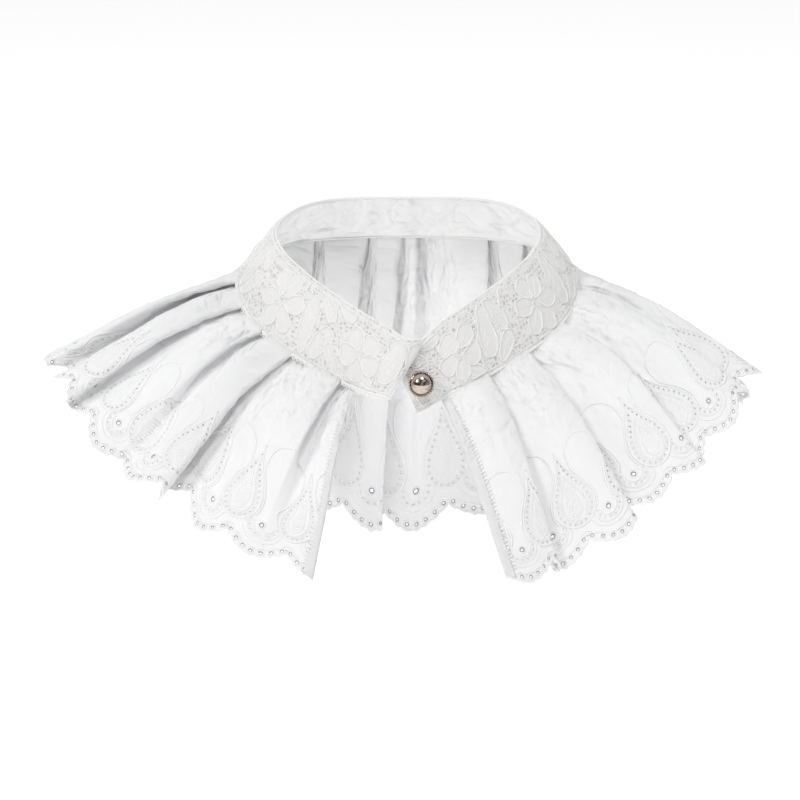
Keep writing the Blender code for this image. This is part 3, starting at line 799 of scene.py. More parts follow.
def grid_sheet(name, columns, rows, place, flat, holes, finish, thickness):
    """A grid of cloth. place and flat give a column and row its point and its flat place."""
    form = bmesh.new()
    bmesh.ops.create_grid(form, x_segments=columns - 1, y_segments=rows - 1, size=0.5)
    uv = form.loops.layers.uv.new("flat_cloth")
    at = {}
    for vert in form.verts:
        at[round((vert.co.x + 0.5) * (columns - 1)), round((vert.co.y + 0.5) * (rows - 1))] = vert
    where = {}
    for (c, r), vert in at.items():
        vert.co = place(c, r)
        where[vert.index] = flat(c, r)
    opened = []
    taken = set()
    for corners, spots in holes:
        if taken & set(corners) or any(corner not in at for corner in corners):
            continue
        taken.update(corners)
        ring = {at[corner] for corner in corners}
        if len(corners) == 8:
            middle = (sum(c for c, r in corners) // 8, sum(r for c, r in corners) // 8)
            opened.extend(at[middle].link_faces)
        else:
            opened.extend(face for face in at[corners[0]].link_faces if set(face.verts) <= ring)
        for corner, spot in zip(corners, spots):
            at[corner].co = spot
    for face in form.faces:
        for loop in face.loops:
            loop[uv].uv = [value / UV_METRES for value in where[loop.vert.index]]
    bmesh.ops.delete(form, geom=list(set(opened)), context="FACES")
    mesh = bpy.data.meshes.new(name)
    form.to_mesh(mesh)
    form.free()
    mesh.shade_smooth()
    piece = add_object(name, mesh, finish)
    wall = piece.modifiers.new("cloth", "SOLIDIFY")
    wall.thickness = thickness
    wall.offset = 0.0
    return piece


def cords(name, lines, finish, radius, sides=0):
    """Many cords as one curve. Each line is (points, closed, size), size being a share of radius."""
    curve = bpy.data.curves.new(name, "CURVE")
    curve.dimensions = "3D"
    curve.bevel_depth = radius
    curve.bevel_resolution = sides
    curve.use_fill_caps = True
    for points, closed, size in lines:
        spline = curve.splines.new("POLY")
        spline.points.add(len(points) - 1)
        flat = np.ones((len(points), 4))
        flat[:, :3] = points
        spline.points.foreach_set("co", flat.ravel())
        spline.points.foreach_set("radius", [size] * len(points))
        spline.use_cyclic_u = closed
        spline.use_smooth = True
    return add_object(name, curve, finish)


# %% [markdown]
# ## The embroidery chart
#
# The border repeats once a scallop. A teardrop stands over each notch: a corded outline, a ring of
# small eyelets, an inner cord and a hatched leaf. A plain rounded drop fills the space between two
# of them, and over each scallop nested arches of cord and dots stand round one larger eyelet. All of
# it is drawn for a scallop 29 mm wide and scaled with it.

# %% Embroidery chart
CHART_PITCH = 0.029
TEAR_MIDDLE = 26.0
TEAR_RADIUS = 10.2
TEAR_TIP = 55.0
PLAIN_RADIUS = 9.6
PLAIN_TOP = 58.5
PLAIN_FOOT = 20.5
ARCH_FOOT = 17.5


def tear_half(y):
    """Half width of the teardrop at a height over the hem."""
    if y < TEAR_MIDDLE:
        return math.sqrt(max(TEAR_RADIUS**2 - (TEAR_MIDDLE - y) ** 2, 0.0))
    share = min((y - TEAR_MIDDLE) / (TEAR_TIP - TEAR_MIDDLE), 1.0)
    return TEAR_RADIUS * (0.5 + 0.5 * math.cos(math.pi * share))


def teardrop(size, steps=64):
    """A teardrop's outline, scaled about its middle."""
    right = []
    for i in range(steps // 2 + 1):
        share = i / (steps // 2)
        low = TEAR_MIDDLE - TEAR_RADIUS
        if share < 0.4:
            angle = math.pi / 2 * share / 0.4
            right.append((TEAR_RADIUS * math.sin(angle), TEAR_MIDDLE - TEAR_RADIUS * math.cos(angle)))
        else:
            y = TEAR_MIDDLE + (TEAR_TIP - TEAR_MIDDLE) * (share - 0.4) / 0.6
            right.append((tear_half(y), y))
    outline = right + [(-x, y) for x, y in reversed(right[1:-1])]
    return [(x * size, TEAR_MIDDLE + (y - TEAR_MIDDLE) * (0.25 + 0.75 * size)) for x, y in outline]


def plain_drop():
    """The outline of the plain drop between two teardrops, open at its foot."""
    right = []
    half_pitch = CHART_PITCH / MM / 2
    top = PLAIN_TOP - PLAIN_RADIUS
    for i in range(26):
        y = PLAIN_FOOT + (PLAIN_TOP - PLAIN_FOOT) * i / 25
        flank = half_pitch - tear_half(y) - 1.3
        cap = math.sqrt(max(PLAIN_RADIUS**2 - max(y - top, 0.0) ** 2, 0.0))
        right.append((min(flank, cap), y))
    return [(half_pitch - x, y) for x, y in right] + [(half_pitch + x, y) for x, y in reversed(right[:-1])]


def arch_line(radius, top):
    """A U of cord round the larger eyelet over a scallop."""
    middle = CHART_PITCH / MM / 2
    bend = [math.radians(a) for a in range(180, 361, 15)]
    line = [(middle + radius * math.cos(a), ARCH_FOOT + radius * 0.92 * math.sin(a)) for a in bend]
    return [(middle - radius, top)] + line + [(middle + radius, top)]


def spaced(line, step, closed=False):
    """Points at even steps along a line."""
    points = np.array(line + line[:1] if closed else line)
    run = np.concatenate([[0.0], np.cumsum(np.linalg.norm(np.diff(points, axis=0), axis=1))])
    count = max(round(run[-1] / step), 2)
    at = np.linspace(0.0, run[-1], count, endpoint=not closed)
    return np.stack([np.interp(at, run, points[:, 0]), np.interp(at, run, points[:, 1])], axis=1)


# Each line of the chart: points, closed, thickness as a share of the heaviest cord
CHART_CORDS = [
    (spaced(teardrop(1.0), 1.5, True), True, 1.0),
    (spaced(teardrop(0.64), 1.6, True), True, 0.62),
    (spaced(teardrop(0.56), 1.6, True), True, 0.62),
    (spaced(teardrop(0.34), 1.6, True), True, 0.62),
    (spaced(plain_drop()[:26], 1.5), False, 1.0),
    (spaced(plain_drop()[25:], 1.5), False, 1.0),
    (spaced(arch_line(4.0, 18.6), 1.1), False, 0.8),
    (spaced(arch_line(7.3, 17.6), 1.2), False, 0.8),
    (spaced(arch_line(9.6, 17.0), 1.4), False, 0.8),
]
for i in range(-3, 6):
    y = TEAR_MIDDLE + i * 1.7
    CHART_CORDS.append((spaced([(-2.9, y - 1.6), (2.9, y + 1.6)], 1.9), False, 0.55))

# Eyelets: x, y and radius of the hole
CHART_EYELETS = [(x, y, 0.6) for x, y in spaced(teardrop(0.82), 2.75, True)]
CHART_EYELETS += [(x, y, 0.5) for x, y in spaced(arch_line(5.7, 18.5), 2.3)]
CHART_EYELETS += [(CHART_PITCH / MM / 2, ARCH_FOOT, 1.45)]
HEM_EYELET_RADIUS = 1.05
HEM_EYELET_RISE = 3.3
print(len(CHART_CORDS), "cords and", len(CHART_EYELETS), "eyelets in a repeat")

# %% [markdown]
# The chart is now laid along each length. A hole takes one grid cell if it is small and four if it
# is large, and a ring of thread is worked round each one, with a grey ring inside it that paints the
# shade in the hole. The hem gets its row of eyelets, the wavy line above them and the closely
# stitched edge.

# %% Embroider each length
# The cords go through the cloth, so they stand out on both of its faces
CORD_RADIUS = 0.00056
CORD_LIFT = 0.00005
RIM_RADIUS = 0.00030
EDGE_SIZE = 1.0


def hole_in(cloth, u, v, radius):
    """The grid corners that a hole takes, and where they go."""
    column, row = cloth.cell_of(u, v)
    large = radius > 0.75 * cloth.cell
    if large:
        c, r = round(column), round(row)
        ring = [(1, 0), (1, 1), (0, 1), (-1, 1), (-1, 0), (-1, -1), (0, -1), (1, -1)]
        corners = [(c + dc, r + dr) for dc, dr in ring]
    else:
        c, r = int(column), int(row)
        ring = [(1, 1), (-1, 1), (-1, -1), (1, -1)]
        corners = [(c + (dc + 1) // 2, r + (dr + 1) // 2) for dc, dr in ring]
    spots = []
    for dc, dr in ring:
        reach = radius / math.hypot(dc, dr)
        spots.append(cloth.place(u + dc * reach, v + dr * reach))
    return corners, spots


def rim_of(cloth, u, v, radius, count=8):
    """A ring of points round a hole: for the thread worked round it and for the grey ring of painted shade inside it.
    """
    turns = [math.tau * i / count for i in range(count)]
    return [cloth.place(u + radius * math.cos(a), v + radius * math.sin(a), CORD_LIFT / 2) for a in turns]


def embroider(cloth):
    """Holes, cords, rims and the grey rings of painted shade inside the eyelets, for one length."""
    holes, lines, rims, painted_shade_rings = [], [], [], []
    size = cloth.pitch / CHART_PITCH
    first = math.floor(-cloth.tip / cloth.pitch) - 1
    count = int(cloth.length / cloth.pitch) + 4
    for i in range(first, first + count):
        notch = cloth.tip + (i + 0.5) * cloth.pitch
        for points, closed, thick in CHART_CORDS:
            flat = [(notch + x * MM * size, y * MM * size) for x, y in points]
            inside = [0.0008 < u < cloth.length - 0.0008 for u, _ in flat]
            if all(inside):
                lines.append(([cloth.place(u, v, CORD_LIFT) for u, v in flat], closed, thick))
            elif any(inside):
                order = flat + flat if closed else flat
                kept = [0.0008 < u < cloth.length - 0.0008 for u, _ in order]
                start = next((k for k in range(1, len(order)) if kept[k] and not kept[k - 1]), 0)
                stop = next((k for k in range(start + 1, len(order)) if not kept[k]), len(order))
                part = order[start:stop][: len(flat)]
                if len(part) > 1:
                    lines.append(([cloth.place(u, v, CORD_LIFT) for u, v in part], False, thick))
        eyelets = [(notch + x * MM * size, y * MM * size, radius) for x, y, radius in CHART_EYELETS]
        for k in range(HEM_EYELETS):
            u = notch + (k + 0.5) / HEM_EYELETS * cloth.pitch
            v = scallop_cut(u - cloth.tip, cloth.pitch, cloth.depth) + HEM_EYELET_RISE * MM * size
            eyelets.append((u, v, HEM_EYELET_RADIUS))
        for u, v, radius in eyelets:
            if not 0.002 < u < cloth.length - 0.002:
                continue
            radius *= MM * size
            holes.append(hole_in(cloth, u, v, radius))
            # Inside each hole a grey ring of thread paints the shade of the hole
            painted_shade_rings.append((rim_of(cloth, u, v, radius * 0.74, 6), True, radius / 0.0011 * 0.42))
            rims.append((rim_of(cloth, u, v, radius + RIM_RADIUS * 0.7), True, 0.5 if radius < 0.0009 else 0.75))
    edge, wave = [], []
    for k in range(int(cloth.length / 0.0008)):
        u = k * 0.0008
        cut = scallop_cut(u - cloth.tip, cloth.pitch, cloth.depth)
        bump = abs(math.cos(math.pi * HEM_EYELETS * ((u - cloth.tip) / cloth.pitch + 0.5)))
        edge.append(cloth.place(u, cut + 0.0004))
        wave.append(cloth.place(u, cut + (5.9 - 1.9 * bump) * MM * size, CORD_LIFT))
    lines.append((edge, False, EDGE_SIZE))
    lines.append((wave, False, 0.8))
    return holes, lines, rims, painted_shade_rings


ruffles = []
for cloth in cloths:
    holes, lines, rims, painted_shade_rings = embroider(cloth)
    sheet = grid_sheet(
        cloth.name + "_cotton",
        cloth.columns,
        cloth.rows,
        lambda c, r: cloth.points[c, r],
        lambda c, r: (cloth.u[c], cloth.v[c, r]),
        holes,
        cotton,
        CLOTH_THICKNESS,
    )
    stitched = cords(cloth.name + "_embroidery", lines, thread, CORD_RADIUS)
    rimmed = cords(cloth.name + "_eyelet_rims", rims, thread, CORD_RADIUS)
    # The grey rings inside the eyelets are painted shade
    painted_shade_cords = cords(cloth.name + "_eyelet_painted_shade", painted_shade_rings, painted_shade_thread, CORD_RADIUS)
    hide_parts(cloth.name)
    ruffles.append((cloth, sheet, [stitched, rimmed, painted_shade_cords]))
    print(cloth.name, len(lines), "cords", len(rims), "eyelets", f"reach {cloth.reach.min():.4f} {cloth.reach.max():.4f}")
# %% [markdown]
# ## Front hems and seam
#
# The two front edges are turned in and stitched down, so a narrow double strip lies on the face
# there, with a ladder of stitches beside it. The stitches are short cords that cross the edge of
# the turning.

# %% Front hems
HEM_WIDTH = 0.0046
HEM_LIFT = 0.00042
STITCH_STEP = 0.0021


def front_hem(cloth, at_start):
    """The turned edge of a front, as a strip over the cloth, and its stitches."""
    rows = 60
    columns = 6
    reach = float(cloth.reach[0 if at_start else -1])
    foot = scallop_cut((0.0 if at_start else cloth.length) - cloth.tip, cloth.pitch, cloth.depth)

    def flat(c, r):
        inward = 0.0002 + HEM_WIDTH * c / (columns - 1)
        u = inward if at_start else cloth.length - inward
        low = scallop_cut(u - cloth.tip, cloth.pitch, cloth.depth) + 0.0008
        return u, low + (reach - low) * r / (rows - 1)

    def place(c, r):
        lift = HEM_LIFT if 0 < c < columns - 1 else 0.00012
        return cloth.place(*flat(c, r), lift)

    name = cloth.name + "_hem"
    strip = grid_sheet(
        name, columns, rows, place, flat, [], cotton, CLOTH_THICKNESS * 0.8
    )
    bars = []
    for k in range(int((reach - foot) / STITCH_STEP)):
        v = foot + 0.003 + k * STITCH_STEP
        ends = [HEM_WIDTH - 0.0014, HEM_WIDTH + 0.0003, HEM_WIDTH + 0.0017]
        sides = [end if at_start else cloth.length - end for end in ends]
        if v < reach - 0.001:
            bars.append(([cloth.place(u, v, 0.00045) for u in sides], False, 0.7))
    ladder = cords(name + "_stitches", bars, thread, 0.00042)
    return [strip, ladder]


hems = {
    "ruffle_front_right": front_hem(cloths[0], True),
    "ruffle_front_left": front_hem(cloths[2], False),
}
for cloth, sheet, stitching in ruffles:
    width = cloth.length
    depth = float(cloth.reach.max())
    min(cloth.flat_area, width * depth)
    print(cloth.name, "cut from", f"{width * 1000:.0f} x {depth * 1000:.0f} mm, {cloth.flat_area * 1e4:.0f} cm2")

# %% [markdown]
# ## The lace of the band
#
# Corded lace is a net of short bars with solid leaves and petals in it, all outlined by a raised
# cord. It lies over white backing cloth. The motifs are charted as closed curves in millimetres.
# Where the lace is solid an attribute is 1, and the finish shows net everywhere else.

# %% Lace chart
LACE_REPEAT = 96.0
PETAL_WOBBLE = 1.1
LONG_LEAF = 11.0


def petal(x, y, length, width, turn, steps=24):
    """A petal's outline: its foot at x, y, pointing along turn (degrees), widest past its middle."""
    outline = []
    for i in range(steps):
        angle = math.tau * i / steps
        along = length * (0.5 - 0.5 * math.cos(angle))
        across = width / 2 * math.sin(angle) * (1.0 - 0.32 * math.cos(angle))
        spot = Vector((x + along / 3.0, y + across / 3.0, turn))
        across += PETAL_WOBBLE * noise.noise(spot)
        along += PETAL_WOBBLE * noise.noise(spot + Vector((0.0, 0.0, 7.0)))
        c, s = math.cos(math.radians(turn)), math.sin(math.radians(turn))
        outline.append((x + along * c - across * s, y + along * s + across * c))
    return outline


def scroll(points):
    """A smooth open line through a few points."""
    xs = list(range(len(points)))
    steps = [i / 6 for i in range(6 * (len(points) - 1) + 1)]
    return [(curve_at(xs, [p[0] for p in points], s), curve_at(xs, [p[1] for p in points], s)) for s in steps]


# Flowers of one repeat: middle, petals, petal length and width, direction of the first
LACE_FLOWERS = (
    (14.0, 15.0, 6, 10.6, 7.0, 12.0),
    (63.0, 13.5, 5, 9.4, 8.2, 54.0),
)

# Leaves of one repeat: foot, length, width and direction
LACE_LEAVES = (
    (33.0, 2.5, 22.0, 8.0, 96.0),
    (37.0, 2.5, 17.0, 7.5, 62.0),
    (36.0, 27.0, 12.0, 6.0, -36.0),
    (52.0, 2.5, 11.0, 5.0, 128.0),
    (47.0, 27.0, 9.5, 5.0, -12.0),
    (78.0, 27.0, 21.0, 8.5, -86.0),
    (82.0, 27.0, 16.0, 7.0, -58.0),
    (83.0, 2.5, 12.0, 6.0, 48.0),
    (75.0, 2.5, 10.0, 5.0, 160.0),
)
LACE_STEMS = (
    ((26.0, 27.5), (29.0, 21.0), (28.0, 13.0), (31.0, 6.0), (30.0, 1.5)),
    ((44.0, 27.5), (48.0, 21.0), (46.0, 13.0), (49.0, 7.0), (47.0, 1.5)),
    ((71.0, 27.5), (75.0, 20.0), (72.0, 12.0), (74.0, 5.0), (71.0, 1.5)),
    ((93.0, 27.5), (90.0, 20.0), (92.0, 12.0), (89.0, 6.0), (92.0, 1.5)),
)

# Ladders of short bars: from, to, bar length
LACE_LADDERS = (
    ((28.5, 5.0), (27.0, 25.0), 4.0),
    ((47.5, 5.0), (46.0, 25.0), 3.6),
    ((41.0, 4.0), (52.0, 3.4), 3.6),
    ((73.0, 8.0), (73.5, 25.0), 3.6),
    ((90.5, 5.0), (91.0, 25.0), 4.0),
    ((20.0, 26.0), (26.0, 26.0), 3.0),
    ((54.0, 26.0), (62.0, 26.5), 3.0),
)

# Chains of small worked rings
LACE_CHAINS = (
    ((1.5, 2.6), (5.0, 4.2), (8.0, 2.8), (11.5, 2.4)),
    ((17.0, 2.4), (21.0, 3.0), (25.0, 2.4)),
    ((38.5, 21.5), (40.5, 16.0), (42.5, 10.0)),
    ((56.0, 2.4), (63.0, 3.2), (69.0, 2.4)),
    ((85.0, 19.5), (86.5, 14.0), (86.0, 10.0)),
    ((66.0, 26.6), (69.5, 24.5)),
)


def inside(outline, x, y):
    """True if a point lies inside a closed outline."""
    crossed = False
    for (ax, ay), (bx, by) in zip(outline, outline[1:] + outline[:1]):
        if (ay > y) != (by > y) and x < ax + (y - ay) / (by - ay) * (bx - ax):
            crossed = not crossed
    return crossed


# %% Band sheets
BAND_CELL = 0.0008
LINING_CELL = 0.0014
LINING_RIPPLE = 0.0036
LACE_OUT = 0.00055
LINING_OUT = -0.00040
LACE_THICKNESS = 0.0005
LINING_THICKNESS = 0.0004

stations = 620
station_list = [band_station(i / (stations - 1)) for i in range(stations)]
lengths = [0.0]
for a, b in zip(station_list, station_list[1:]):
    lengths.append(lengths[-1] + (on_band(b, 0.5, 0.0) - on_band(a, 0.5, 0.0)).length)
band_length = lengths[-1]


def band_spot(along_mm, up_mm, out):
    """Point of the band for a place on the flat strip, in millimetres."""
    share = float(np.interp(along_mm * MM, lengths, np.arange(stations)))
    i = min(int(share), stations - 2)
    up = up_mm / BAND_HEIGHT
    first, second = on_band(station_list[i], up, out), on_band(station_list[i + 1], up, out)
    return first.lerp(second, share - i)


def in_repeat(number, points):
    """Chart points moved to a repeat. Every other repeat is turned upside down."""
    shift = number * LACE_REPEAT - 34.0
    turned = [(x, BAND_HEIGHT - y if number % 2 else y) for x, y in points]
    return [(x + shift, min(max(y, 1.6), BAND_HEIGHT - 1.6)) for x, y in turned]


def small_ring(x, y, radius, count=8):
    """A small circle on the chart."""
    turns = [math.tau * i / count for i in range(count)]
    return [(x + radius * math.cos(a), y + radius * math.sin(a)) for a in turns]


repeats = math.ceil(band_length / MM / LACE_REPEAT) + 1
shapes, stems, bars, veins, rings = [], [], [], [], []
for k in range(repeats):
    petals = list(LACE_LEAVES)
    for x, y, count, length, width, start in LACE_FLOWERS:
        for i in range(count):
            turn = start + 360.0 * i / count
            foot = (x + 1.9 * math.cos(math.radians(turn)), y + 1.9 * math.sin(math.radians(turn)))
            petals.append((*foot, length, width, turn))
        rings.append(in_repeat(k, small_ring(x, y, 1.5)))
    for x, y, length, width, turn in petals:
        jitter = noise.noise(Vector((x + k * 5.0, y, 3.0)))
        turn += 8.0 * jitter
        shapes.append(in_repeat(k, petal(x, y, length * (1.0 + 0.1 * jitter), width, turn)))
        c, s = math.cos(math.radians(turn)), math.sin(math.radians(turn))
        rib = [(x + length * g * c, y + length * g * s) for g in (0.12, 0.3, 0.5, 0.68, 0.8)]
        veins.append((len(shapes), in_repeat(k, rib)))
        for g in (0.35, 0.52, 0.69) if length > LONG_LEAF else ():
            for side in (-1.0, 1.0):
                tip = (length * (g + 0.13), side * width * 0.32)
                ends = [(length * g, 0.0), tip]
                line = [(x + a * c - b * s, y + a * s + b * c) for a, b in ends]
                veins.append((len(shapes), in_repeat(k, line)))
    for points in LACE_STEMS:
        stems.append(in_repeat(k, scroll(points)))
    for start, end, bar in LACE_LADDERS:
        for px, py in spaced([start, end], 1.7):
            tall = abs(end[0] - start[0]) < abs(end[1] - start[1])
            ends = [(px - bar / 2, py), (px + bar / 2, py)] if tall else [(px, py - bar / 2), (px, py + bar / 2)]
            bars.append(in_repeat(k, ends))
    for points in LACE_CHAINS:
        for px, py in spaced(scroll(points), 1.75):
            rings.append(in_repeat(k, small_ring(px, py, 0.62, 7)))


def solidity(x, y):
    """1 where the lace is solid, at a place on the flat strip in millimetres."""
    near = [s for s in shapes if min(p[0] for p in s) <= x <= max(p[0] for p in s)]
    return 1.0 if any(inside(s, x, y) for s in near) else 0.0


# %% [markdown]
# The net is a cell pattern: each cell's edge is a bar of thread and each middle a small hole, not cut
# but pressed in by bump and painted grey as the shade of the backing under it. Bars are 1 mm apart
# at their closest, as on real corded lace.

# %% Lace finish
NET_SPACING = 0.0019


def corded_net(name, hex_color, painted_hole_shade):
    """Cotton lace: solid cloth where the attribute is 1, and elsewhere a net whose holes are pressed in by bump and
    painted grey as shade.
    """
    material, tree, shader = new_finish(name, hex_color, 0.8, sheen=0.1)
    place = add_node(tree, "ShaderNodeUVMap", [("uv_map", "flat_cloth")])
    solid = add_node(tree, "ShaderNodeAttribute", [("attribute_name", "solid")])
    net = add_node(
        tree,
        "ShaderNodeTexVoronoi",
        [("feature", "DISTANCE_TO_EDGE"), ("Scale", UV_METRES / NET_SPACING), ("Randomness", 0.55)],
        [("Vector", place.outputs["UV"])],
    )
    holes = add_node(
        tree,
        "ShaderNodeMapRange",
        [("From Min", 0.16), ("From Max", 0.4)],
        [("Value", net.outputs["Distance"])],
    )
    open_share = add_node(
        tree,
        "ShaderNodeMath",
        [("operation", "SUBTRACT"), (0, 1.0)],
        [(1, solid.outputs["Fac"])],
    )
    depth = add_node(
        tree, "ShaderNodeMath", [("operation", "MULTIPLY")], [(0, holes.outputs[0]), (1, open_share.outputs[0])]
    )
    # The net's holes are painted a darker grey: painted shade of the backing seen through them
    color = add_node(
        tree,
        "ShaderNodeMix",
        [("data_type", "RGBA"), (6, linear(hex_color)), (7, linear(painted_hole_shade))],
        [(0, depth.outputs[0])],
    )
    tree.links.new(color.outputs[2], shader.inputs["Base Color"])
    grain = add_node(
        tree, "ShaderNodeTexNoise", [("Scale", UV_METRES / 0.0009), ("Detail", 3.0)], [("Vector", place.outputs["UV"])]
    )
    height = add_node(
        tree,
        "ShaderNodeMath",
        [("operation", "MULTIPLY_ADD"), (1, 0.25)],
        [(0, grain.outputs["Fac"]), (2, depth.outputs[0])],
    )
    bump = add_node(
        tree,
        "ShaderNodeBump",
        [("invert", True), ("Strength", 0.9), ("Distance", 0.0005)],
        [("Height", height.outputs[0])],
    )
    tree.links.new(bump.outputs["Normal"], shader.inputs["Normal"])
    return material


# The second colour is painted shade in the net's holes
lace = corded_net("corded_cotton_lace", "#ecebea", "#d2d1cf")


def band_grid(name, out, finish, thickness, cell, ripple):
    """One sheet of the band. A ripple lifts it inwards in soft upright folds."""
    columns = int(band_length / cell)
    rows = int(BAND_HEIGHT * MM / cell) + 1

    def flat(c, r):
        return c / (columns - 1) * band_length, r / (rows - 1) * BAND_HEIGHT * MM

    def place(c, r):
        along, up = flat(c, r)
        fold = noise.noise(Vector((along / 0.011 + up / 0.05, up / 0.03, 2.0)))
        loose = math.sin(math.pi * up / (BAND_HEIGHT * MM))
        return band_spot(along / MM, up / MM, out - ripple * loose * max(fold + 0.2, 0.0))

    return grid_sheet(name, columns, rows, place, flat, [], finish, thickness)


lace_sheet = band_grid("band_corded_lace", LACE_OUT, lace, LACE_THICKNESS, BAND_CELL, 0.0)
lining_sheet = band_grid("band_cotton_lining", LINING_OUT, lining_cotton, LINING_THICKNESS, LINING_CELL, LINING_RIPPLE)
fill = lace_sheet.data.attributes.new("solid", "FLOAT", "POINT")
uv_layer = lace_sheet.data.uv_layers["flat_cloth"].data
flat_places = {}
for loop in lace_sheet.data.loops:
    flat_places[loop.vertex_index] = uv_layer[loop.index].uv * (UV_METRES / MM)
for index, spot in flat_places.items():
    fill.data[index].value = solidity(spot[0], spot[1])
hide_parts("band_lace")
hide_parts("band_lining")

# %% [markdown]
# Cords are laid over the lace: one round each leaf and petal, a vein down it, and the stems. A
# closely stitched ridge runs along both edges of the band and down its ends, and covers the seam.

# %% Lace cords and edges
LACE_CORD = 0.00048
EDGE_RADIUS = 0.00075
PIPING_RADIUS = 0.0006

# Small loops show along the seam of the over end only, from this share of the band on
PICOT_FROM = 0.7
CORD_OUT = LACE_OUT + 0.0003

reach_mm = band_length / MM


def free_runs(line, covers):
    """The stretches of a line that lie on the band and under none of the covering shapes."""
    runs, current = [], []
    for x, y in line:
        if 1.0 < x < reach_mm - 1.0 and not any(inside(cover, x, y) for cover in covers):
            current.append((x, y))
        elif current:
            runs.append(current)
            current = []
    return [run for run in runs + [current] if len(run) > 1]


def covers_near(x, others):
    """The shapes that may reach a place along the band."""
    return [other for other in others if abs(other[0][0] - x) < 30.0]


lace_thread = twisted_thread("corded_lace_thread", "#f4f4f3")
lace_lines = []
for number, outline in enumerate(shapes):
    covers = covers_near(outline[0][0], shapes[number + 1 :])
    for run in free_runs(outline + outline[:1], covers):
        lace_lines.append(([band_spot(x, y, CORD_OUT) for x, y in run], False, 1.0))
for later, line in veins:
    covers = covers_near(line[0][0], shapes[later:])
    for run in free_runs(line, covers):
        lace_lines.append(([band_spot(x, y, CORD_OUT - 0.0001) for x, y in run], False, 0.55))
for line in stems:
    for run in free_runs(line, covers_near(line[0][0], shapes)):
        lace_lines.append(([band_spot(x, y, CORD_OUT) for x, y in run], False, 1.15))
for line in bars:
    steps = [(line[0][0] + (line[1][0] - line[0][0]) * g, line[0][1] + (line[1][1] - line[0][1]) * g) for g in (0, 0.33, 0.67, 1)]
    for run in free_runs(steps, covers_near(line[0][0], shapes)):
        lace_lines.append(([band_spot(x, y, CORD_OUT) for x, y in run], False, 0.7))
for line in rings:
    if all(1.0 < x < reach_mm - 1.0 for x, _ in line):
        lace_lines.append(([band_spot(x, y, CORD_OUT) for x, y in line], True, 0.7))
lace_cords = cords("band_lace_cords", lace_lines, lace_thread, LACE_CORD)

middle_out = (LACE_OUT + LINING_OUT) / 2
steps = [reach_mm * i / 420 for i in range(421)]
heights = [BAND_HEIGHT * i / 24 for i in range(25)]
ridge = []
for x in steps:
    ridge.append(band_spot(x, BAND_HEIGHT, middle_out))
picots = []
for i in range(int(reach_mm * (1.0 - PICOT_FROM) / 0.35)):
    x = reach_mm * PICOT_FROM + i * 0.35
    picots.append(band_spot(x, 0.2 - 1.1 * abs(math.sin(math.pi * x / 2.1)), LACE_OUT + 0.0005))
edge_lines = [
    (picots, False, 0.45),
    (ridge, False, 1.0),
    ([band_spot(x, 0.35, middle_out + 0.0003) for x in steps], False, 1.0),
    ([band_spot(0.0, y, middle_out) for y in heights], False, 1.0),
    ([band_spot(reach_mm, y, middle_out) for y in heights], False, 1.0),
    ([band_spot(x, BAND_HEIGHT - 1.7, LACE_OUT + 0.0002) for x in steps], False, 0.4),
    ([band_spot(x, 2.0, LACE_OUT + 0.0002) for x in steps], False, 0.4),
]
edges = cords("band_stitched_edges", edge_lines, lace_thread, EDGE_RADIUS, 1)
piping_line = [([band_spot(x, 1.0, LINING_OUT - 0.0004) for x in steps], False, 1.0)]
pink_thread = twisted_thread("pale_piping_thread", "#f3efee")
piping = cords("band_lining_piping", piping_line, pink_thread, PIPING_RADIUS, 1)
print(f"band {band_length * 1000:.0f} mm long,", len(lace_lines), "cords")

# %% [markdown]
# ## The button
#
# A dome of polished metal with a beaded rim stands on a short shank on the under end. Its profile is
# spun about one axis, and the beads are small spheres set round it.

# %% Button
BUTTON_ANGLE = 9.2
BUTTON_UP = 0.36
BUTTON_RADIUS = 0.0058
BUTTON_HEIGHT = 0.0046
BUTTON_EDGE = 0.0012
BUTTON_CLEARANCE = 0.0042
SHANK_RADIUS = 0.0013
BEADS = 28
BEAD_RADIUS = 0.00058

silver, _, _ = new_finish("polished_nickel_silver", "#bfb3aa", 0.09, metallic=1.0)
button_along = (BUTTON_ANGLE - UNDER_END_LOWER) / (OVER_END_LOWER - UNDER_END_LOWER)
here = band_station(button_along)
button_foot = on_band(here, BUTTON_UP, SEAM_GAP / 2 + LACE_WALL)
button_along_way = on_band(band_station(button_along + 0.01), BUTTON_UP, 0.0) - on_band(here, BUTTON_UP, 0.0)
button_out = button_along_way.cross(on_band(here, BUTTON_UP + 0.1, 0.0) - on_band(here, BUTTON_UP, 0.0)).normalized()
button_along_way.normalize()

base = BUTTON_CLEARANCE
profile = [(0.0, 0.0), (SHANK_RADIUS, 0.0), (SHANK_RADIUS, base), (BUTTON_RADIUS * 0.86, base)]
for step in range(7):
    angle = math.radians(-90 + 180 * step / 6)
    radius = BUTTON_RADIUS - BUTTON_EDGE / 2 + (BUTTON_EDGE / 2 - BEAD_RADIUS * 0.6) * math.cos(angle)
    profile.append((radius, base + BUTTON_EDGE / 2 + BUTTON_EDGE / 2 * math.sin(angle)))
dome = BUTTON_RADIUS * 0.80
for step in range(15):
    angle = math.radians(90 * step / 14)
    height = base + BUTTON_EDGE * 0.75 + (BUTTON_HEIGHT - BUTTON_EDGE * 0.75) * math.sin(angle)
    profile.append((dome * math.cos(angle) if step < 14 else 0.0, height))

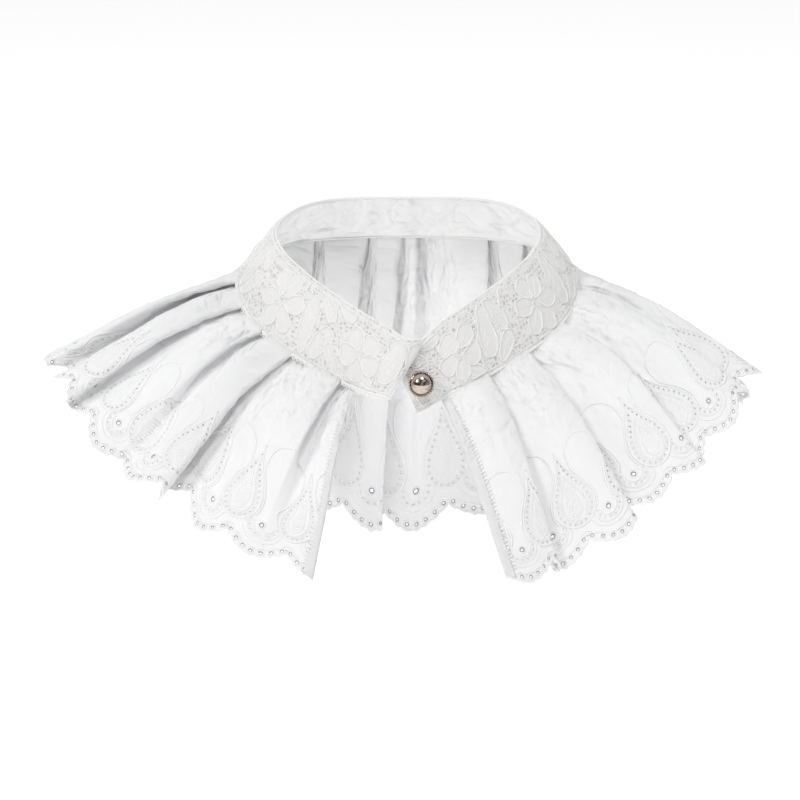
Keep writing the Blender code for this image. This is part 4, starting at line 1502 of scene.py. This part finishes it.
form = bmesh.new()
line = [form.verts.new((radius, 0.0, height)) for radius, height in profile]
path = [form.edges.new(pair) for pair in zip(line, line[1:])]
bmesh.ops.spin(
    form, geom=line + path, cent=(0, 0, 0), axis=(0, 0, 1), angle=math.tau, steps=64, use_merge=True
)
bmesh.ops.remove_doubles(form, verts=form.verts, dist=0.00001)
bmesh.ops.recalc_face_normals(form, faces=form.faces)
for bead in range(BEADS):
    angle = math.tau * bead / BEADS
    ring = BUTTON_RADIUS - BEAD_RADIUS * 0.8
    ball = bmesh.ops.create_icosphere(form, subdivisions=2, radius=BEAD_RADIUS)["verts"]
    spot = Vector((ring * math.cos(angle), ring * math.sin(angle), base + BUTTON_EDGE * 0.9))
    bmesh.ops.translate(form, verts=ball, vec=spot)
turn = button_out.to_track_quat("Z", "Y").to_matrix().to_4x4()
bmesh.ops.transform(form, matrix=turn, verts=form.verts)
bmesh.ops.translate(form, verts=form.verts, vec=button_foot)
button_mesh = bpy.data.meshes.new("button_dome")
form.to_mesh(button_mesh)
form.free()
button_mesh.shade_smooth()
button = add_object("button_dome", button_mesh, silver)
button_mesh.set_sharp_from_angle(angle=math.radians(50.0))
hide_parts("button")

# %% [markdown]
# ## The thread loop
#
# A small loop of thread comes out of the over end and holds the shank. Two turns of thread lie side
# by side, so it is drawn as two thin cords.

# %% Thread loop
LOOP_RADIUS = 0.0021
LOOP_REACH = 0.0047
LOOP_LEVEL = 0.0019
LOOP_THREAD = 0.00030
button_up_way = button_out.cross(button_along_way)
turns = []
for rise in (-0.00022, 0.00022):
    route = [(-LOOP_REACH, -0.0006)]
    for step in range(21):
        angle = math.radians(-105 + 210 * step / 20)
        route.append((LOOP_RADIUS * math.cos(angle), LOOP_RADIUS * math.sin(angle)))
    route.append((-LOOP_REACH, 0.0006))
    points = [
        button_foot + button_out * (LOOP_LEVEL + rise) + button_along_way * a + button_up_way * b for a, b in route
    ]
    turns.append((points, False, 1.0))
loop_cords = cords("button_thread_loop", turns, thread, LOOP_THREAD, 1)
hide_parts("button_loop")

# %% [markdown]
# ## Floor and light
#
# The photograph is bright and nearly shadowless: a large soft source up on the left, and white all
# round. The floor lies just under the hem and is as pale as the backdrop.

# %% Stage
FLOOR_GAP = 0.004

# The room is white, brightest overhead, with darker patches behind the camera that the metal shows
WHITE_ROOM = 0.33
BRIGHT_CEILING = 0.5
DARK_ROOM = 0.12
floor_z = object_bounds()[0].z - FLOOR_GAP
form = bmesh.new()
bmesh.ops.create_grid(form, x_segments=1, y_segments=1, size=8.0)
bmesh.ops.translate(form, verts=form.verts, vec=(0.0, 0.0, floor_z))
floor_mesh = bpy.data.meshes.new("floor")
form.to_mesh(floor_mesh)
form.free()
floor = bpy.data.objects.new("floor", floor_mesh)
bpy.context.scene.collection.objects.link(floor)
paper, _, paper_shader = new_finish("pale_backdrop_paper", "#fcfcfc", 0.9)
paper_shader.inputs["Emission Color"].default_value = linear("#ffffff")
paper_shader.inputs["Emission Strength"].default_value = 0.4
floor_mesh.materials.append(paper)
floor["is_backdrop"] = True


def soft_light(name, place, size, power):
    """A square area light that faces the collar."""
    data = bpy.data.lights.new(name, "AREA")
    data.size = size
    data.energy = power
    lamp = bpy.data.objects.new(name, data)
    bpy.context.scene.collection.objects.link(lamp)
    lamp.location = place
    lamp.rotation_mode = "QUATERNION"
    lamp.rotation_quaternion = (aim - Vector(place)).to_track_quat("-Z", "Y")
    lamp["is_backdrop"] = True


soft_light("key", (-1.05, -1.0, 1.0), 0.4, 8.0)
soft_light("top", (0.25, -0.8, 1.9), 0.5, 14.0)
world = bpy.data.worlds.new("studio")
world.use_nodes = True
sky = world.node_tree
direction = add_node(sky, "ShaderNodeTexCoord")
axes = add_node(sky, "ShaderNodeSeparateXYZ", [], [("Vector", direction.outputs["Generated"])])
room = add_node(
    sky,
    "ShaderNodeMapRange",
    [("To Min", WHITE_ROOM), ("To Max", WHITE_ROOM + BRIGHT_CEILING)],
    [("Value", axes.outputs["Z"])],
)
gaps = add_node(
    sky, "ShaderNodeTexNoise", [("Scale", 3.4), ("Detail", 1.0)], [("Vector", direction.outputs["Generated"])]
)
patches = add_node(
    sky,
    "ShaderNodeMapRange",
    [("From Min", 0.49), ("From Max", 0.55), ("To Min", DARK_ROOM), ("To Max", 1.0)],
    [("Value", gaps.outputs["Fac"])],
)
front = add_node(
    sky,
    "ShaderNodeMapRange",
    [("From Min", -0.25), ("From Max", -0.05), ("To Min", 0.0), ("To Max", 1.0)],
    [("Value", axes.outputs["Y"])],
)
shade = add_node(
    sky, "ShaderNodeMath", [("operation", "MAXIMUM")], [(0, patches.outputs[0]), (1, front.outputs[0])]
)
strength = add_node(
    sky, "ShaderNodeMath", [("operation", "MULTIPLY")], [(0, room.outputs[0]), (1, shade.outputs[0])]
)
background = sky.nodes["Background"]
background.inputs["Color"].default_value = linear("#ffffff")
sky.links.new(strength.outputs[0], background.inputs["Strength"])
bpy.context.scene.world = world
bpy.context.scene.view_settings.view_transform = "Standard"
print(f"floor at {floor_z:.3f} m")

# %% Finish
graph = bpy.context.evaluated_depsgraph_get()
total = 0
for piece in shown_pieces():
    shown = piece.evaluated_get(graph).to_mesh()
    triangles = sum(len(face.vertices) - 2 for face in shown.polygons)
    piece.evaluated_get(graph).to_mesh_clear()
    total += triangles
    print(piece.name, triangles, "triangles")
print(total, "triangles in all")
bounds = [[list(corner) for corner in pair] for pair in (SOLID_BOUNDS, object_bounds())]
print("solids", bounds[0], "dressed", bounds[1])
